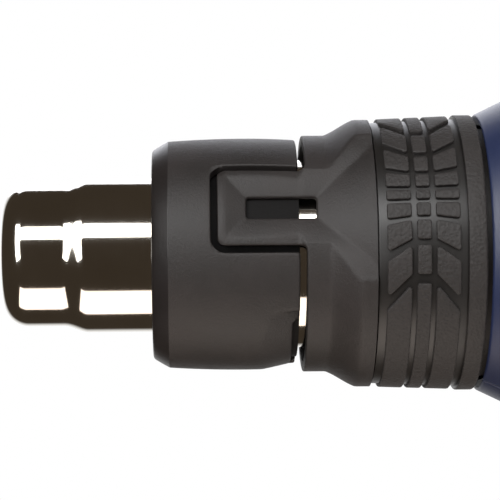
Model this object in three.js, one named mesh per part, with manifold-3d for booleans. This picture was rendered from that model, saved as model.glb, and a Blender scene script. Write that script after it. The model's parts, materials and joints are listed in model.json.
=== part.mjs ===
// Pistol-grip hot-air gun, built as separate pieces.
// Units are millimetres. +Z runs along the barrel towards the nozzle, and the gun stands on its
// rear cap and on the heel of its handle, so Z = 0 is the surface that it stands on. The origin is
// on the barrel axis. The handle reaches towards -X, and the gun is split along the plane Y = 0.

import * as THREE from 'three';
import { mergeVertices } from 'three/addons/utils/BufferGeometryUtils.js';
import Module from 'manifold-3d';

const wasm = await Module();
wasm.setup();

// ---------------------------------------------------------------- driving dimensions

// Clearances and walls
const FIT = 0.3;                    // gap between pieces that seat on each other
const RUNNING = 0.5;                // gap round pieces that turn or slide
const STEEL = 0.8;                  // wall of the nozzle tube
const WALL = 2.6;                   // wall of the housing shells
const ROUND = 28;                   // facets round a large turned piece
const SMALL_ROUND = 14;             // facets round a small turned piece
const BIG = 400;                    // reach of a cutting box
const TOLERANCE = 0.01;             // surface error allowed when flat areas are cleaned up
const MIN_STEP = 0.05;              // outline points closer than this are one point

// Lengths along the barrel, from the nozzle tip to the rear face
const NOZZLE_EXPOSED = 36.2;        // nozzle tip to the collar
const COLLAR_LENGTH = 34.8;
const COLLAR_GAP = 1.6;             // open joint between the collar and the neck
const NECK_STRAIGHT = 5.5;
const NECK_CONE = 7.3;
const NECK_BAND = 3.4;
const RING_LENGTH = 25.4;
const RING_GAP = 0.8;               // open joint between the tread ring and the housing
const BARREL_LENGTH = 117;
const CAP_LENGTH = 20;

// Nozzle tube
const OUTLET_RADIUS = 17.25;
const STEP_RADIUS = 18.85;
const SLEEVE_RADIUS = 23;
const LIP_INSET = 5.6;              // how far the rolled lip closes in
const LIP_LENGTH = 6;
const OUTLET_LENGTH = 14.3;         // tip to the start of the step
const STEP_LENGTH = 5.8;
const SLEEVE_FLARE = 6;             // length of the flare hidden in the collar
const FLANGE_WIDTH = 4.6;
const FLANGE_THICKNESS = 1.2;

// Collar
const COLLAR_FACE_RADIUS = 25.3;
const COLLAR_SHOULDER_RADIUS = 27.7;
const COLLAR_CROWN_RADIUS = 28.35;
const COLLAR_END_RADIUS = 27.9;
const COLLAR_CHAMFER = 3.9;
const COLLAR_CROWN_AT = 22.3;       // crown's distance from the collar's front face
const COLLAR_WALL = 2.4;
const COLLAR_FACE_WALL = 2.5;
const COLLAR_BORE_GAP = 0.9;
const COLLAR_LINER = 0.9;            // wall of the inner sleeve that shades the joint
const COLLAR_VENTS = 12;
const COLLAR_VENT_WIDTH = 3.2;
const TAPER_LENGTH = 9;             // flat that eases the collar's rear underside
const TAPER_DEPTH = 1.4;
const TAPER_HALF_WIDTH = 17;
const NOTCH_DEPTH = 1.5;            // how far the underside notch is set forward

// Tongues of the neck that reach into the collar
const TONGUE_LENGTH = 20.9;
const TONGUE_WIDTH = 19.6;
const TONGUE_CORNER = 1.8;
const TONGUE_THICKNESS = 2.6;
const SLOT_LENGTH = 16.6;
const SLOT_WIDTH = 5.8;
const SLOT_SETBACK = 6.8;           // tongue tip to the slot
const RECESS_MARGIN = 5.2;          // sloping wall round the slot

// Neck and tread ring
const NECK_RADIUS = 28.95;
const BAND_RADIUS = 32.75;
const RING_FRONT_RADIUS = 32.8;
const RING_REAR_RADIUS = 33.75;
const RING_THICKNESS = 2.1;
const RING_CHAMFER = 0.7;
const GROOVE_DEPTH = 0.85;
const GROOVES = [[0, 1.9], [7.6, 8.8], [12.1, 13.3], [18.9, 20.7]];  // start and end, from the front
const NECK_LIP = 2.6;               // flange that the housing shells clamp
const NECK_LIP_RADIUS = 32.9;

// Housing
const BARREL_FRONT_RADIUS = 33.7;
const BARREL_RADIUS = 41.5;
const FLARE_ANGLE = THREE.MathUtils.degToRad(25.6);
const FLARE_BLEND = 2.4;            // radius still to gain where the flare starts to round over
const FRONT_LIP = 4.6;              // thick lip at the front of the shells
const SEAM = 0.2;                   // gap between the two shells
const HANDLE_LEAN = THREE.MathUtils.degToRad(11);
const HANDLE_REACH = 190;           // barrel axis to the base of the heel
const HANDLE_RISE = 66;             // height at which the handle's centreline meets the barrel axis
const HANDLE_WIDTH = 34;
const HANDLE_ROUNDING = 12;
const HANDLE_HALF_DEPTH = 19.5;
const HEEL_CORNER = 14;
const HEEL_FLARE_AT = 168;
const HEEL_FLARE = 7.5;             // how far the heel stands out in front of the handle
const SKIN = 1.5;                   // thickness of the soft grip
const GRIP_SETBACK = 9;             // switch bezel to the top of the soft grip

// Rear cap
const CAP_FACE_RADIUS = 36.4;
const CAP_WALL = 2.4;
const CAP_SPIGOT = 6;
const CAP_SLOTS = 10;
const CAP_SLOT_WIDTH = 3.2;
const CAP_SLOT_INNER = 10.5;
const CAP_SLOT_OUTER = 29.5;
const SIDE_SLOTS = 14;
const SIDE_SLOT_WIDTH = 3.4;
const SIDE_SLOT_LENGTH = 9;
const STAND_RING_INNER = 31.2;
const STAND_RING_OUTER = 34.6;
const STAND_RING_HEIGHT = 1.6;

// Heater
const MICA_WALL = 0.8;
const CORE_LENGTH = 62;
const CORE_SETBACK = 48;            // nozzle tip to the core's front face
const COILS = 6;
const COIL_BORE = 4.6;
const COIL_RIM = 7.4;                // middle of a coil to the core's rim
const COIL_WIRE = 1;
const CORE_BORE = 3;
const SENSOR_RADIUS = 1.3;
const SENSOR_LEAD = 4;              // how far the sensor stands out of the core's front
const SENSOR_TAIL = 6;              // how far it runs behind the heater base
const CUTOUT_SIZE = [6, 9, 3];
const CUTOUT_OFFSET = 6.2;
const BASE_THICKNESS = 3;
const GASKET_THICKNESS = 1.4;
const FLANGE_SCREWS = 3;
const FLANGE_SCREW_RADIUS = 1.1;
const FLANGE_SCREW_HEAD = 1.9;
const FLANGE_SCREW_HEAD_HEIGHT = 1.5;

// Air duct, fan and motor
const DUCT_WALL = 2;
const DUCT_FLANGE = 3;
const DUCT_CONE = 24;
const DUCT_RADIUS = 35;
const FAN_RADIUS = 31;
const FAN_DEPTH = 14;
const FAN_HUB_RADIUS = 11;
const FAN_BLADES = 9;
const FAN_BLADE_THICKNESS = 1.3;
const FAN_BLADE_PITCH = THREE.MathUtils.degToRad(40);
const MOTOR_RADIUS = 18;
const MOTOR_LENGTH = 48;
const MOTOR_WALL = 1.2;
const MOTOR_SETBACK = 28;           // rear face of the gun to the motor
const BRACKET_DEPTH = 8;
const BRACKET_WALL = 2;
const BRACKET_ARMS = 5;
const SHAFT_RADIUS = 1.6;
const ARMATURE_RADIUS = 11.6;
const ARMATURE_GAP = 9;             // front of the can to the armature
const COMMUTATOR_RADIUS = 6;
const COMMUTATOR_AT = 8;            // rear of the motor to the commutator
const COMMUTATOR_LENGTH = 5;
const END_BELL = 4;
const FAN_GAP = 4;                  // motor to impeller
const MAGNET_REAR_GAP = 10;
const MAGNET_FRONT_GAP = 8;
const MAGNET_OPENING = 6;           // half the gap between the two magnets
const MAGNET_THICKNESS = 3.6;
const BEARING_RADIUS = 5;
const BEARING_DEPTH = 4;

// Controls in the handle, placed by distance along it and across it
const SWITCH_AT = 76;
const SWITCH_LENGTH = 21;
const SWITCH_WIDTH = 13;
const SWITCH_DEPTH = 15;
const BEZEL_MARGIN = 2;
const BEZEL_HEIGHT = 1.6;
const PAD_RISE = 0.6;               // flat pad under the bezel, above the handle's surface line
const ROCKER_LENGTH = 16.6;
const ROCKER_WIDTH = 9.6;
const ROCKER_RISE = 2.8;
const ROCKER_DEPTH = 2.6;
const ROCKER_PIVOT = 0.6;           // pivot above the handle's surface line
const WHEEL_AT = 66;
const WHEEL_RADIUS = 13;
const WHEEL_WIDTH = 7;
const WHEEL_PROUD = 3.4;            // how far the wheel stands out of the handle's back
const WHEEL_KNURLS = 16;
const WHEEL_STUB_RADIUS = 3;
const POT_RADIUS = 5.2;
const POT_DEPTH = 5;
const BOARD_AT = 104;
const BOARD_LENGTH = 44;
const BOARD_WIDTH = 26;
const BOARD_THICKNESS = 1.6;
const BOARD_OFFSET = 6;
const HEATSINK_SIZE = [16, 12, 9];
const HEATSINK_FINS = 4;
const TRIAC_SIZE = [4, 9, 9];
const CAPACITOR_SIZE = [12, 12, 7];
const TERMINAL_AT = 157;
const TERMINAL_SIZE = [10, 16, 10];
const CLAMP_AT = 173;
const CLAMP_SIZE = [8, 22, 5];
const INLET_BORE = 4.2;
const INLET_NECK_RADIUS = 7.4;
const INLET_FLANGE_RADIUS = 9.6;
const INLET_FLANGE = 2.2;
const INLET_HEIGHT = 30;            // height of the cable inlet's axis

// Housing screws: distance along the handle and offset across it
const HOUSING_SCREWS = [[51, 17], [93, -11.5], [92.5, 10], [155, -13.5], [165, 15], [178, -22]];
const BOSS_RADIUS = 4.4;
const SCREW_RADIUS = 1.4;
const SCREW_HEAD_RADIUS = 2.8;
const SCREW_HEAD_HEIGHT = 2;
const SCREW_SEAT = 6;               // height of the head's seat above the seam
const SCREW_REACH = 11;             // length of the shank below the seat

// ---------------------------------------------------------------- derived stations along Z

const BARREL_REAR = CAP_LENGTH;
const BARREL_FRONT = BARREL_REAR + BARREL_LENGTH;
const RING_REAR = BARREL_FRONT + RING_GAP;
const RING_FRONT = RING_REAR + RING_LENGTH;
const CONE_REAR = RING_FRONT + NECK_BAND;
const CONE_FRONT = CONE_REAR + NECK_CONE;
const NECK_FRONT = CONE_FRONT + NECK_STRAIGHT;
const COLLAR_REAR = NECK_FRONT + COLLAR_GAP;
const COLLAR_FRONT = COLLAR_REAR + COLLAR_LENGTH;
const NOZZLE_TIP = COLLAR_FRONT + NOZZLE_EXPOSED;
const TONGUE_TIP = NECK_FRONT + TONGUE_LENGTH;

const LIP_REAR = BARREL_FRONT - FRONT_LIP;                   // rear face of the housing's front lip
const NECK_REAR = LIP_REAR - FIT - NECK_LIP;
const NECK_BORE_RADIUS = SLEEVE_RADIUS + FLANGE_WIDTH + FIT + 0.1;
const RING_SEAT_RADIUS = RING_FRONT_RADIUS - RING_THICKNESS;
const SPIGOT_RADIUS = BARREL_FRONT_RADIUS - WALL - FIT;
const DUCT_FRONT = NECK_REAR + DUCT_FLANGE;
const GASKET_REAR = DUCT_FRONT + FIT;
const FLANGE_REAR = GASKET_REAR + GASKET_THICKNESS + FIT;
const FLANGE_FRONT = FLANGE_REAR + FLANGE_THICKNESS;
const FLANGE_RADIUS = SLEEVE_RADIUS + FLANGE_WIDTH;
const FLANGE_PITCH = (SLEEVE_RADIUS + FLANGE_RADIUS) / 2 + 0.1;
const MICA_RADIUS = SLEEVE_RADIUS - STEEL - 0.4;
const CORE_RADIUS = MICA_RADIUS - MICA_WALL - 0.4;
const COIL_PITCH = CORE_RADIUS - COIL_RIM;
const CORE_FRONT = NOZZLE_TIP - CORE_SETBACK;
const CORE_REAR = CORE_FRONT - CORE_LENGTH;

const MOTOR_REAR = MOTOR_SETBACK;
const MOTOR_FRONT = MOTOR_REAR + MOTOR_LENGTH;
const BRACKET_REAR = MOTOR_FRONT - BRACKET_DEPTH;
const DUCT_REAR = MOTOR_FRONT + FIT;
const FAN_REAR = MOTOR_FRONT + FAN_GAP;
const FAN_FRONT = FAN_REAR + FAN_DEPTH;

const WHEEL_ACROSS = -HANDLE_HALF_DEPTH - WHEEL_PROUD + WHEEL_RADIUS;

// ---------------------------------------------------------------- solids

function toSolid(geometry) {
  let plain = geometry.clone();
  for (const name of ['normal', 'uv']) plain.deleteAttribute(name);
  plain = mergeVertices(plain, 1e-4);
  const index = plain.index.array;
  const triVerts = [];
  for (let i = 0; i < index.length; i += 3) {
    const [a, b, c] = [index[i], index[i + 1], index[i + 2]];
    if (a !== b && b !== c && c !== a) triVerts.push(a, b, c);
  }
  return new wasm.Manifold(new wasm.Mesh({
    numProp: 3,
    vertProperties: new Float32Array(plain.attributes.position.array),
    triVerts: new Uint32Array(triVerts),
  }));
}

function toGeometry(solid) {
  const data = solid.simplify(TOLERANCE).getMesh();
  const geometry = new THREE.BufferGeometry();
  geometry.setAttribute('position', new THREE.BufferAttribute(new Float32Array(data.vertProperties), 3));
  geometry.setIndex(new THREE.BufferAttribute(new Uint32Array(data.triVerts), 1));
  geometry.computeVertexNormals();
  return geometry;
}

// A closed profile of [radius, z] points, turned about Z.
function turned(profile, facets = ROUND) {
  const points = profile.map(([r, z]) => new THREE.Vector2(r, z));
  if (THREE.ShapeUtils.area(points) < 0) points.reverse();
  points.push(points[0].clone());
  return toSolid(new THREE.LatheGeometry(points, facets).rotateX(Math.PI / 2));
}

function ring(inner, outer, low, high, facets = ROUND) {
  return turned([[inner, low], [outer, low], [outer, high], [inner, high]], facets);
}

function disc(radius, low, high, facets = SMALL_ROUND) {
  const height = high - low;
  const geometry = new THREE.CylinderGeometry(radius, radius, height, facets).rotateX(Math.PI / 2);
  return toSolid(geometry.translate(0, 0, low + height / 2));
}

function box(sx, sy, sz, x = 0, y = 0, z = 0) {
  return toSolid(new THREE.BoxGeometry(sx, sy, sz).translate(x, y, z));
}

// The outline's points, without repeated ones and without those in line with their neighbours.
function outlinePoints(shape, divisions) {
  const points = [];
  for (const point of shape.extractPoints(divisions).shape) {
    if (points.length === 0 || point.distanceTo(points.at(-1)) > MIN_STEP) points.push(point);
  }
  if (points[0].distanceTo(points.at(-1)) <= MIN_STEP) points.pop();
  return points.filter((point, i) => {
    const before = points.at(i - 1).clone().sub(point);
    const after = points[(i + 1) % points.length].clone().sub(point);
    return Math.abs(before.cross(after)) > MIN_STEP * MIN_STEP;
  });
}

// An outline in the XZ plane, extruded along Y between two planes.
function slab(shape, yLow, yHigh, { divisions = 6, ...options } = {}) {
  const plain = new THREE.Shape(outlinePoints(shape, divisions));
  const geometry = new THREE.ExtrudeGeometry(plain, {
    depth: yHigh - yLow, bevelEnabled: false, ...options,
  });
  return toSolid(geometry.rotateX(Math.PI / 2).translate(0, yHigh, 0));
}

// Moves a solid by rotating it about Z, or to a place.
const spun = (solid, angle) => solid.rotate([0, 0, THREE.MathUtils.radToDeg(angle)]);
const moved = (solid, x, y, z) => solid.translate([x, y, z]);

function repeated(solid, count, start = 0) {
  let all = null;
  for (let i = 0; i < count; i += 1) {
    const copy = spun(solid, start + i * 2 * Math.PI / count);
    all = all ? all.add(copy) : copy;
  }
  return all;
}

// A point of the handle: s along its centreline, n across it towards the nozzle, as [x, z].
function atHandle(s, n) {
  const [c, d] = [Math.cos(HANDLE_LEAN), Math.sin(HANDLE_LEAN)];
  return [-s * c - n * d, HANDLE_RISE - s * d + n * c];
}

// Places a solid that is drawn round the handle point (s, n), with local X pointing up the handle.
function placed(solid, s, n) {
  const [x, z] = atHandle(s, n);
  return solid.rotate([0, -THREE.MathUtils.radToDeg(HANDLE_LEAN), 0]).translate([x, 0, z]);
}

// A cylinder along Y through the handle point (s, n).
function crossPin(radius, s, n, yLow, yHigh, facets = SMALL_ROUND) {
  const [x, z] = atHandle(s, n);
  return disc(radius, yLow, yHigh, facets).rotate([-90, 0, 0]).translate([x, 0, z]);
}

// ---------------------------------------------------------------- nozzle, collar and neck

function lipArc(inset, steps) {
  const curve = new THREE.EllipseCurve(
    OUTLET_RADIUS - LIP_INSET, NOZZLE_TIP - LIP_LENGTH,
    LIP_INSET - inset, LIP_LENGTH - inset, 0, Math.PI / 2);
  return curve.getPoints(steps).map((p) => [p.x, p.y]);
}

function nozzleTube() {
  const stepFront = NOZZLE_TIP - OUTLET_LENGTH;
  const stepRear = stepFront - STEP_LENGTH;
  const flareFront = COLLAR_FRONT - COLLAR_FACE_WALL - 1.8;
  const flareRear = flareFront - SLEEVE_FLARE;
  const easing = (STEP_RADIUS - OUTLET_RADIUS) / 6;
  const wallAt = (inset, lipSteps) => [
    [SLEEVE_RADIUS - inset, flareRear], [STEP_RADIUS - inset, flareFront],
    [STEP_RADIUS - inset, stepRear],
    [STEP_RADIUS - inset - easing, stepRear + STEP_LENGTH * 0.3],
    [OUTLET_RADIUS - inset + easing, stepFront - STEP_LENGTH * 0.3],
    [OUTLET_RADIUS - inset, stepFront],
    ...lipArc(inset, lipSteps),
  ];
  const outside = [[FLANGE_RADIUS, FLANGE_REAR], [FLANGE_RADIUS, FLANGE_FRONT],
    [SLEEVE_RADIUS, FLANGE_FRONT], ...wallAt(0, 5)];
  const inside = [[SLEEVE_RADIUS - STEEL, FLANGE_REAR], ...wallAt(STEEL, 3)];
  return turned([...outside, ...inside.reverse()]).subtract(flangeHoles());
}

function flangeHoles() {
  const hole = disc(FLANGE_SCREW_RADIUS + FIT, DUCT_FRONT - BIG / 2, FLANGE_FRONT + 1, 8);
  return repeated(moved(hole, FLANGE_PITCH, 0, 0), FLANGE_SCREWS);
}

// The tongue seen from the gun's side, grown by a margin, with rounded tip corners.
function tongueOutline(margin, corner) {
  const half = TONGUE_WIDTH / 2 + margin;
  const tip = TONGUE_TIP + margin;
  const root = NECK_FRONT - COLLAR_GAP;
  const shape = new THREE.Shape();
  shape.moveTo(-half, root);
  shape.lineTo(half, root);
  shape.lineTo(half, tip - corner);
  shape.absarc(half - corner, tip - corner, corner, 0, Math.PI / 2);
  shape.absarc(-half + corner, tip - corner, corner, Math.PI / 2, Math.PI);
  shape.closePath();
  return shape;
}

function tonguePrisms(margin, corner) {
  return slab(tongueOutline(margin, corner), -BIG / 2, BIG / 2, { divisions: 5 });
}

function collarRadius(fromFront) {
  const rise = COLLAR_CROWN_RADIUS - COLLAR_SHOULDER_RADIUS;
  const fall = COLLAR_CROWN_RADIUS - COLLAR_END_RADIUS;
  const before = (fromFront - COLLAR_CROWN_AT) / (COLLAR_CROWN_AT - COLLAR_CHAMFER);
  const after = (fromFront - COLLAR_CROWN_AT) / (COLLAR_LENGTH - COLLAR_CROWN_AT);
  return COLLAR_CROWN_RADIUS - (before < 0 ? rise * before ** 2 : fall * after ** 2);
}

function collarOutside() {
  const steps = [1, 0.7, 0.4, 0].map((share) => COLLAR_CHAMFER + share * (COLLAR_LENGTH - COLLAR_CHAMFER));
  return steps.map((d) => [collarRadius(d), COLLAR_FRONT - d]);
}

function collar() {
  const bore = STEP_RADIUS + COLLAR_BORE_GAP;
  const inner = COLLAR_END_RADIUS - COLLAR_WALL;
  const innerFront = COLLAR_FACE_RADIUS - COLLAR_WALL + 1;
  const faceInside = COLLAR_FRONT - COLLAR_FACE_WALL;
  let body = turned([
    ...collarOutside(), [COLLAR_FACE_RADIUS, COLLAR_FRONT],
    [bore, COLLAR_FRONT], [bore, faceInside], [innerFront, faceInside],
    [inner, faceInside - 4], [inner, COLLAR_REAR],
  ]);
  body = body.subtract(tonguePrisms(COLLAR_GAP, TONGUE_CORNER + COLLAR_GAP));
  const linerOuter = inner - FIT;
  body = body.add(ring(linerOuter - COLLAR_LINER, linerOuter, COLLAR_REAR, faceInside));
  const vent = box(COLLAR_VENT_WIDTH, 2.6, BIG / 8, 0, (bore + innerFront) / 2, COLLAR_FRONT);
  body = body.subtract(repeated(vent, COLLAR_VENTS, Math.PI / COLLAR_VENTS)
    .intersect(disc(BIG / 4, faceInside - 1, COLLAR_FRONT + 1)));
  return body.subtract(underTaper());
}

// Eases the collar's rear edge on the gun's underside: a sloping flat, then a short notch.
function underTaper() {
  const shape = new THREE.Shape();
  const start = COLLAR_REAR + TAPER_LENGTH;
  const skin = collarRadius(COLLAR_LENGTH - TAPER_LENGTH);
  shape.moveTo(skin, start);
  shape.lineTo(skin - TAPER_DEPTH, COLLAR_REAR - 1);
  shape.lineTo(skin + 4, COLLAR_REAR - 1);
  shape.lineTo(skin + 4, start);
  shape.closePath();
  const points = shape.getPoints().map((p) => [p.x, p.y]);
  const sweep = turned(points);
  const window = box(BIG / 8, TAPER_HALF_WIDTH * 2, BIG / 8, -BIG / 16 - 4, 0, COLLAR_REAR);
  const notch = box(BIG / 8, TAPER_HALF_WIDTH * 2 - 4, NOTCH_DEPTH * 2, -BIG / 16 - 4, 0, COLLAR_REAR);
  return sweep.intersect(window).add(notch);
}

// Sloping recess round a slot that goes right through the tongue, for one side of the gun.
function tongueRecess() {
  const low = TONGUE_TIP - SLOT_SETBACK - SLOT_LENGTH;
  const high = TONGUE_TIP - SLOT_SETBACK;
  const shape = new THREE.Shape();
  shape.moveTo(-SLOT_WIDTH / 2, low);
  shape.lineTo(SLOT_WIDTH / 2, low);
  shape.lineTo(SLOT_WIDTH / 2, high);
  shape.lineTo(-SLOT_WIDTH / 2, high);
  shape.closePath();
  const floor = COLLAR_CROWN_RADIUS - TONGUE_THICKNESS + 0.9;
  const wall = TONGUE_THICKNESS - 0.6;
  const through = slab(shape, SLEEVE_RADIUS, NECK_RADIUS + 10);
  const funnel = slab(shape, floor + wall, NECK_RADIUS + 10, {
    bevelEnabled: true, bevelSegments: 1, bevelSize: RECESS_MARGIN, bevelThickness: wall,
  });
  return through.add(funnel);
}

function neck() {
  const inner = COLLAR_END_RADIUS - COLLAR_WALL;
  const body = turned([
    [NECK_BORE_RADIUS, NECK_REAR], [NECK_LIP_RADIUS, NECK_REAR], [NECK_LIP_RADIUS, NECK_REAR + NECK_LIP],
    [SPIGOT_RADIUS, NECK_REAR + NECK_LIP], [SPIGOT_RADIUS, RING_REAR],
    [RING_SEAT_RADIUS - FIT, RING_REAR], [RING_SEAT_RADIUS - FIT, RING_FRONT],
    [BAND_RADIUS, RING_FRONT], [BAND_RADIUS - 0.15, CONE_REAR],
    [NECK_RADIUS, CONE_FRONT], [NECK_RADIUS, NECK_FRONT],
    [inner, NECK_FRONT], [inner, CONE_FRONT], [NECK_BORE_RADIUS, CONE_REAR],
  ]);
  const crown = [0, 0.35, 0.7, 1].map((share) => {
    const d = COLLAR_LENGTH - share * (TONGUE_LENGTH - COLLAR_GAP);
    return [collarRadius(d), COLLAR_FRONT - d];
  });
  const band = turned([
    [inner, NECK_FRONT - 1], [COLLAR_END_RADIUS, NECK_FRONT - 1], ...crown, [inner, TONGUE_TIP],
  ]);
  const recess = tongueRecess();
  return body.add(band.intersect(tonguePrisms(0, TONGUE_CORNER)))
    .subtract(recess).subtract(spun(recess, Math.PI));
}

function treadRing() {
  const slope = (RING_REAR_RADIUS - RING_FRONT_RADIUS) / RING_LENGTH;
  const skin = (d) => RING_FRONT_RADIUS + slope * d;
  const outside = [];
  for (const [start, end] of GROOVES) {
    if (start > 0) outside.push([skin(start), RING_FRONT - start]);
    outside.push([skin(start) - GROOVE_DEPTH, RING_FRONT - start - (start > 0 ? 0 : FIT)]);
    outside.push([skin(end) - GROOVE_DEPTH, RING_FRONT - end], [skin(end), RING_FRONT - end]);
  }
  outside.push([RING_REAR_RADIUS, RING_REAR + RING_CHAMFER], [RING_REAR_RADIUS - RING_CHAMFER, RING_REAR]);
  return turned([...outside, [RING_SEAT_RADIUS, RING_REAR], [RING_SEAT_RADIUS, RING_FRONT - FIT]]);
}

// ---------------------------------------------------------------- heater

function micaTube() {
  return ring(MICA_RADIUS - MICA_WALL, MICA_RADIUS, CORE_REAR - 1, CORE_FRONT + 1);
}

function coilPlace(index) {
  const angle = index * 2 * Math.PI / COILS;
  return [COIL_PITCH * Math.cos(angle), COIL_PITCH * Math.sin(angle)];
}

function heaterCore() {
  let core = disc(CORE_RADIUS, CORE_REAR, CORE_FRONT, ROUND);
  core = core.subtract(disc(CORE_BORE, CORE_REAR - 1, CORE_FRONT + 1, 10));
  for (let i = 0; i < COILS; i += 1) {
    const [x, y] = coilPlace(i);
    core = core.subtract(moved(disc(COIL_BORE, CORE_REAR - 1, CORE_FRONT + 1, 10), x, y, 0));
  }
  return core;
}

function heatingCoil(index) {
  const [x, y] = coilPlace(index);
  const outer = COIL_BORE - FIT;
  return moved(ring(outer - COIL_WIRE, outer, CORE_REAR + 2, CORE_FRONT - 2, 10), x, y, 0);
}

function heaterBase() {
  const high = CORE_REAR - FIT;
  let base = disc(CORE_RADIUS, high - BASE_THICKNESS, high, ROUND);
  base = base.subtract(disc(SENSOR_RADIUS + FIT, high - BASE_THICKNESS - 1, high + 1, 10));
  const hole = disc(COIL_BORE - 1.6, high - BASE_THICKNESS - 1, high + 1, 8);
  for (let i = 0; i < COILS; i += 1) {
    base = base.subtract(moved(hole, ...coilPlace(i), 0));
  }
  return base;
}

function thermalCutout() {
  const high = CORE_REAR - FIT - BASE_THICKNESS - FIT;
  return box(...CUTOUT_SIZE, CUTOUT_OFFSET, 0, high - CUTOUT_SIZE[2] / 2);
}

function temperatureSensor() {
  return disc(SENSOR_RADIUS, CORE_REAR - BASE_THICKNESS - SENSOR_TAIL, CORE_FRONT + SENSOR_LEAD, 12);
}

function gasket() {
  return ring(SLEEVE_RADIUS - STEEL, FLANGE_RADIUS, GASKET_REAR, GASKET_REAR + GASKET_THICKNESS)
    .subtract(flangeHoles());
}

function flangeScrew(index) {
  const head = FLANGE_FRONT + FIT;
  const screw = disc(FLANGE_SCREW_HEAD, head, head + FLANGE_SCREW_HEAD_HEIGHT, 12)
    .add(disc(FLANGE_SCREW_RADIUS, NECK_REAR + 0.6, head + 0.5, 8));
  return spun(moved(screw, FLANGE_PITCH, 0, 0), index * 2 * Math.PI / FLANGE_SCREWS);
}

// ---------------------------------------------------------------- duct, fan and motor

function airDuct() {
  const bore = SLEEVE_RADIUS - STEEL;
  const flangeRear = DUCT_FRONT - DUCT_FLANGE;
  const coneRear = flangeRear - DUCT_CONE;
  return turned([
    [DUCT_RADIUS, DUCT_REAR], [DUCT_RADIUS, coneRear], [FLANGE_RADIUS, flangeRear],
    [FLANGE_RADIUS, DUCT_FRONT], [bore, DUCT_FRONT], [bore, flangeRear],
    [DUCT_RADIUS - DUCT_WALL, coneRear], [DUCT_RADIUS - DUCT_WALL, DUCT_REAR],
  ]).subtract(flangeHoles());
}

function motorBracket() {
  const hub = MOTOR_RADIUS + FIT;
  const arm = box(DUCT_RADIUS - hub - 1, BRACKET_WALL, BRACKET_DEPTH,
    (DUCT_RADIUS + hub) / 2, 0, BRACKET_REAR + BRACKET_DEPTH / 2);
  return ring(DUCT_RADIUS - DUCT_WALL, DUCT_RADIUS, BRACKET_REAR, MOTOR_FRONT)
    .add(ring(hub, hub + BRACKET_WALL, BRACKET_REAR, MOTOR_FRONT))
    .add(repeated(arm, BRACKET_ARMS, Math.PI));
}

function motorCan() {
  const inner = MOTOR_RADIUS - MOTOR_WALL;
  const seat = BEARING_RADIUS + FIT;
  return turned([
    [MOTOR_RADIUS, MOTOR_REAR + END_BELL], [MOTOR_RADIUS, MOTOR_FRONT], [seat, MOTOR_FRONT],
    [seat, MOTOR_FRONT - MOTOR_WALL], [inner, MOTOR_FRONT - MOTOR_WALL], [inner, MOTOR_REAR + END_BELL],
  ]);
}

function motorEndBell() {
  const seat = BEARING_RADIUS + FIT;
  const top = MOTOR_REAR + END_BELL - FIT;
  return turned([
    [seat, MOTOR_REAR], [MOTOR_RADIUS, MOTOR_REAR], [MOTOR_RADIUS, top], [seat, top],
  ]);
}

function bearing(low) {
  return ring(SHAFT_RADIUS + 0.05, BEARING_RADIUS, low, low + BEARING_DEPTH, 16);
}

function magnet(side) {
  const outer = MOTOR_RADIUS - MOTOR_WALL - FIT;
  const [low, high] = [MOTOR_REAR + MAGNET_REAR_GAP, MOTOR_FRONT - MAGNET_FRONT_GAP];
  const sleeve = ring(outer - MAGNET_THICKNESS, outer, low, high);
  return sleeve.intersect(box(BIG / 8, outer * 2, BIG, side * (BIG / 16 + MAGNET_OPENING), 0, 0));
}

function motorShaft() {
  return disc(SHAFT_RADIUS, MOTOR_REAR + 0.5, FAN_FRONT + 2, 16);
}

function armature() {
  const low = MOTOR_REAR + COMMUTATOR_AT;
  const core = low + COMMUTATOR_LENGTH;
  const high = MOTOR_FRONT - ARMATURE_GAP;
  return turned([
    [SHAFT_RADIUS + FIT, low], [COMMUTATOR_RADIUS, low], [COMMUTATOR_RADIUS, core],
    [ARMATURE_RADIUS, core], [ARMATURE_RADIUS, high], [SHAFT_RADIUS + FIT, high],
  ], 24);
}

function impeller() {
  const hub = turned([
    [SHAFT_RADIUS + FIT, FAN_REAR], [FAN_HUB_RADIUS, FAN_REAR], [FAN_HUB_RADIUS, FAN_FRONT - 3],
    [FAN_HUB_RADIUS - 3, FAN_FRONT], [SHAFT_RADIUS + FIT, FAN_FRONT],
  ], 27);
  const reach = FAN_RADIUS - FAN_HUB_RADIUS + 2;
  const chord = (FAN_DEPTH - 4) / Math.cos(FAN_BLADE_PITCH);
  const blade = toSolid(new THREE.BoxGeometry(reach, FAN_BLADE_THICKNESS, chord)
    .rotateX(FAN_BLADE_PITCH)
    .translate(FAN_RADIUS - reach / 2, 0, (FAN_REAR + FAN_FRONT) / 2 - 0.5));
  return hub.add(repeated(blade, FAN_BLADES)).intersect(disc(FAN_RADIUS, FAN_REAR, FAN_FRONT, ROUND));
}

// ---------------------------------------------------------------- housing

// Outside of the barrel, or a surface set in from it, as [radius, z] points from front to rear.
function barrelSide(inset) {
  const flareEnd = BARREL_RADIUS - FLARE_BLEND;
  const flareLength = (flareEnd - BARREL_FRONT_RADIUS) / Math.tan(FLARE_ANGLE);
  const shift = inset / Math.cos(FLARE_ANGLE);
  const blend = new THREE.QuadraticBezierCurve(
    new THREE.Vector2(flareEnd - shift, BARREL_FRONT - flareLength),
    new THREE.Vector2(BARREL_RADIUS - inset, BARREL_FRONT - flareLength - FLARE_BLEND / Math.tan(FLARE_ANGLE)),
    new THREE.Vector2(BARREL_RADIUS - inset, BARREL_FRONT - flareLength - 4 * FLARE_BLEND),
  );
  return [[BARREL_FRONT_RADIUS - shift, BARREL_FRONT], ...blend.getPoints(3).map((p) => [p.x, p.y])];
}

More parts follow.
